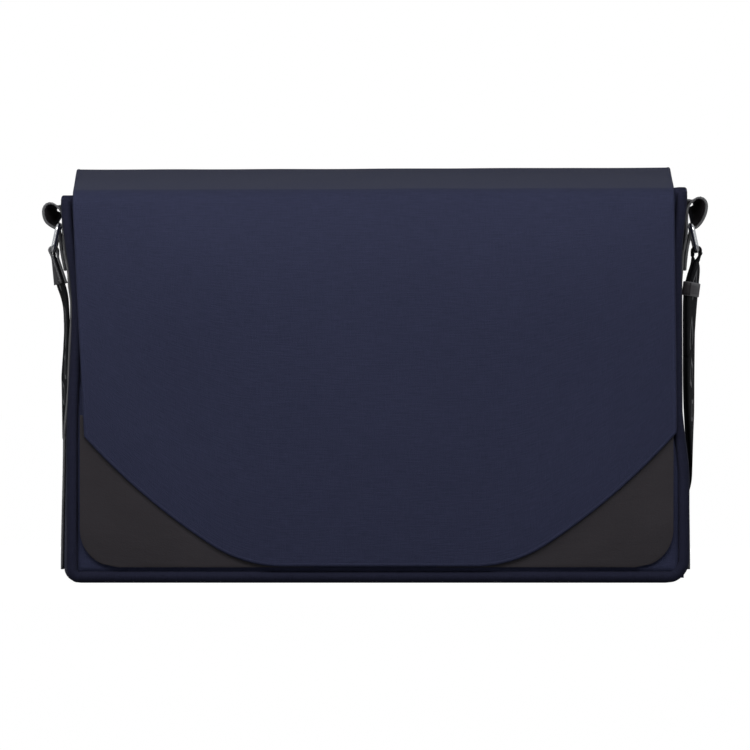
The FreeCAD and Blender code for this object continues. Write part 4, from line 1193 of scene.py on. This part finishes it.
def make_zip_pocket():
    """The zip pocket's panel on the back wall, open along its zip, with tapes and teeth."""
    low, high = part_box("zip_pocket_panel")
    tape_low, tape_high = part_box("zip_tapes")
    level = (tape_low.z + tape_high.z) / 2
    half_slot, half_zip = 7 * MM, tape_high.x - 3 * MM

    def runs(*stops):
        line = [stops[0][0]]
        for (start, _), (end, count) in zip(stops, stops[1:]):
            line += [lerp(start, end, s) for s in steps(count)[1:]]
        return line

    across = runs((high.x, 0), (half_zip, 6), (-half_zip, 60), (low.x, 6))
    down = runs((high.z, 0), (level + half_slot, 6), (level - half_slot, 4), (low.z, 30))

    def place(x, z):
        edge = min(high.x - abs(x), high.z - z, z - low.z)
        full = smooth(edge / (9 * MM))
        near = abs(z - level) < half_slot + 1 * MM
        soft = 0 if near else 0.4 * MM * ripple(x, z, 0.035, 81) * full
        return Vector((x, lerp(high.y - 0.4 * MM, low.y, full) + soft, z))

    points, faces, uvs = grid_data(grid(down, across, place))
    kept, kept_uvs = [], []
    for i, face in enumerate(faces):
        centre = sum((points[k] for k in face), Vector()) / 4
        if abs(centre.z - level) > half_slot or abs(centre.x) > half_zip:
            kept.append(face)
            kept_uvs += uvs[4 * i:4 * i + 4]
    piece = thicken(make_piece("zip_pocket_cloth", points, kept, kept_uvs, LINING), 0.7 * MM)
    settle(piece, "lining", "zip_pocket_panel")

    teeth_low, teeth_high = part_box("zip_teeth")
    for word, top, bottom in (("upper", tape_high.z, teeth_high.z - 0.6 * MM),
                              ("lower", teeth_low.z + 0.6 * MM, tape_low.z)):
        rows = grid(steps(4), steps(60), lambda s, t, top=top, bottom=bottom: Vector((
            lerp(tape_high.x, tape_low.x, s), tape_low.y, lerp(top, bottom, t))))
        piece = sheet_piece("zip_tape_" + word, rows, TAPE, 0.5 * MM)
        if word == "upper":
            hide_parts("zip_tapes")
        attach(piece, "bag")
    make_teeth(teeth_low, teeth_high)


def make_teeth(low, high):
    """Two rows of small teeth that interlock along the zip."""
    points, faces, uvs = [], [], []
    count = round((high.x - low.x) / (1.5 * MM))
    centre = (low + high) / 2
    for i in range(count):
        x = low.x + (i + 0.5) * (high.x - low.x) / count
        way = 1 if i % 2 else -1
        base = len(points)
        for dx in (-0.5, 0.5):
            for dy in (-0.78, 0.78):
                for dz in (-0.5, 2.3):
                    slim = 0.8 if dz < 0 else 1
                    points.append(Vector((x + dx * slim * MM, centre.y + dy * slim * MM,
                                          centre.z + way * dz * MM)))
        for face in ((0, 1, 3, 2), (4, 6, 7, 5), (0, 4, 5, 1), (2, 3, 7, 6), (0, 2, 6, 4),
                     (1, 5, 7, 3)):
            turned = face if way > 0 else face[::-1]
            faces.append(tuple(base + k for k in turned))
            uvs += [(0, 0), (1, 0), (1, 1), (0, 1)]
    piece = make_piece("zip_teeth_rows", points, faces, uvs, STEEL)
    for face in piece.data.polygons:
        face.use_smooth = False
    add_modifier(piece, "BEVEL", width=0.2 * MM, segments=2)
    settle(piece, "zip", "zip_teeth")


def make_mat():
    """The changing mat: one quilted pad folded in three, with a bound edge all round."""
    low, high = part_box("changing_mat")
    pad = (high.y - low.y) / 3.2
    first, last = low.y + pad / 2, high.y - pad / 2
    middle = (first + last) / 2
    turn = (middle - first) / 2
    top, bottom = high.z - pad / 2 - turn - 0.5 * MM, low.z + pad / 2 + turn + 0.5 * MM
    turns = [math.pi * s for s in steps(10)[1:-1]]
    path = [(first, lerp(low.z + 2 * MM, top, s)) for s in steps(34)]
    path += [(first + turn - turn * math.cos(a), top + turn * math.sin(a)) for a in turns]
    path += [(middle, lerp(top, bottom, s)) for s in steps(34)]
    path += [(middle + turn - turn * math.cos(a), bottom - turn * math.sin(a)) for a in turns]
    path += [(last, lerp(bottom, high.z - 1 * MM, s)) for s in steps(34)]
    places = [Vector((0, y, z)) for y, z in path]
    frames = frames_along(places, [Vector((1, 0, 0))] * len(places))
    half = high.x
    across = [math.sin(k * math.pi / 2) for k in (2 * s - 1 for s in steps(60))]
    rows, run, total = [], 0.0, length_of(frames)
    for i, (at, wide, normal) in enumerate(frames):
        run += (at - frames[max(i - 1, 0)][0]).length
        row = []
        for face, line in ((1, across), (-1, across[::-1])):
            for s in line:
                x = s * half
                quilt = abs(math.sin(math.pi * (x + run) / (42 * MM)))
                quilt *= abs(math.sin(math.pi * (x - run) / (42 * MM)))
                edge = min(half - abs(x), run, total - run)
                plump = smooth((edge + 0.8 * MM) / (7 * MM)) * (0.62 + 0.38 * quilt ** 0.5)
                row.append(at + wide * x + normal * face * max(plump * pad / 2, 0.6 * MM))
        rows.append(row)
    points, faces, uvs = grid_data(rows, closed=True)
    count = len(rows[0])
    for ring in (list(range(count)), list(range((len(rows) - 1) * count, len(rows) * count))):
        for j in range(count // 2 - 1):
            faces.append((ring[j], ring[j + 1], ring[count - 2 - j], ring[count - 1 - j]))
            uvs += [(0, 0), (0.01, 0), (0.01, 0.01), (0, 0.01)]
    piece = make_piece("changing_mat_pad", points, faces, uvs, MAT)
    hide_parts("changing_mat")
    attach(piece, "bag")
    section = oval(1.3 * MM, 2.1 * MM, 8)
    edges = [(word, [(at + wide * side * half, wide, normal) for at, wide, normal in frames])
             for side, word in SIDES]
    for word, (at, wide, normal) in (("inner", frames[0]), ("outer", frames[-1])):
        along = wide.cross(normal)
        edges.append((word, [(at + wide * lerp(-half, half, s), along, normal)
                             for s in steps(60)]))
    for word, edge in edges:
        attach(sweep("changing_mat_binding_" + word, edge, section, NAVY_SHADED), "bag")


# ---- metal that the frame holds

def make_metal_parts():
    """Gives the frame's own metal nodes their finished material."""
    for node in ("ring_left", "ring_right", "strap_slider", "zip_slider", "zip_pull",
                 "body_magnets", "flap_magnets"):
        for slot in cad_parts[node].material_slots:
            slot.link = "OBJECT"
            slot.material = STEEL


# ---- stage

def make_stage():
    """A pale floor, white round it, and soft studio lights."""
    mesh = bpy.data.meshes.new("floor")
    far = 30.0
    mesh.from_pydata([(-far, -far, 0), (far, -far, 0), (far, far, 0), (-far, far, 0)], [],
                     [(0, 1, 2, 3)])
    floor = bpy.data.objects.new("floor", mesh)
    bpy.context.scene.collection.objects.link(floor)
    material, tree, shader = new_material("pale_floor", 0.9, specular_ior_level=0.1)
    shader.inputs["Base Color"].default_value = (0.3, 0.3, 0.305, 1)
    glow = add(tree, "Emission", {"Color": (1, 1, 1, 1), "Strength": 1.1})
    seen = add(tree, "LightPath").outputs["Is Camera Ray"]
    mixed = add(tree, "MixShader", {"Fac": calculate(tree, "MULTIPLY", seen, 0.9),
                                    1: shader.outputs[0], 2: glow.outputs[0]})
    tree.links.new(mixed.outputs[0], tree.nodes["Material Output"].inputs["Surface"])
    mesh.materials.append(material)

    world = bpy.data.worlds.new("studio")
    bpy.context.scene.world = world
    world.use_nodes = True
    tree = world.node_tree
    tree.nodes.clear()
    pale = (0.93, 0.96, 1.0, 1)
    soft, gloss, white = [
        add(tree, "Background", {"Color": colour, "Strength": strength}).outputs[0]
        for colour, strength in ((pale, 0.24), (pale, 0.5), ((1, 1, 1, 1), 1.0))]
    path = add(tree, "LightPath").outputs
    other = add(tree, "MixShader", {"Fac": path["Is Glossy Ray"], 1: soft, 2: gloss}).outputs[0]
    mixed = add(tree, "MixShader", {"Fac": path["Is Camera Ray"], 1: other, 2: white})
    out = add(tree, "OutputWorld")
    tree.links.new(mixed.outputs[0], out.inputs["Surface"])

    for name, at, aim, size, power in (
        ("key", (-0.05, -0.50, 0.46), (0, -0.06, 0.18), (1.4, 0.2), 4.9),
        ("front", (0.3, -2.6, 0.9), (0, 0, 0.12), (1.8, 1.2), 1),
        ("back", (0.3, 1.5, 0.13), (0, 0, 0.13), (1.8, 0.2), 26),
    ):
        light = bpy.data.lights.new(name, "AREA")
        light.shape = "RECTANGLE"
        light.size, light.size_y = size
        light.energy = power
        lamp = bpy.data.objects.new(name, light)
        lamp.location = at
        lamp.visible_camera = False
        lamp.visible_glossy = name != "back"
        lamp.rotation_euler = (Vector(aim) - Vector(at)).to_track_quat("-Z", "Y").to_euler()
        bpy.context.scene.collection.objects.link(lamp)


def make_camera():
    """Straight on at the bag's middle height, from far off."""
    data = bpy.data.cameras.new("camera")
    camera = bpy.data.objects.new("camera", data)
    distance, view_width = 8.0, 0.4785
    camera.location = (0, -distance, 0.1327)
    camera.rotation_euler = (math.pi / 2, 0, 0)
    data.sensor_width = 36
    data.lens = 36 * (distance + FLAP_FACE) / view_width
    data.clip_start, data.clip_end = 0.1, 60
    bpy.context.scene.collection.objects.link(camera)
    bpy.context.scene.camera = camera
    bpy.context.scene.view_settings.view_transform = "Standard"


make_camera()
make_stage()
make_panels()
make_borders()
make_patches()
make_flap()
length = make_left_strap()
length = make_floor_strap(length)
length = make_right_strap(length)
make_end_loop()
make_tab()
make_side_straps()
make_lining()
make_facing()
make_bottle_pockets()
make_slip_pocket()
make_zip_pocket()
make_mat()
make_metal_parts()

print(f"webbing {length:.3f} m")
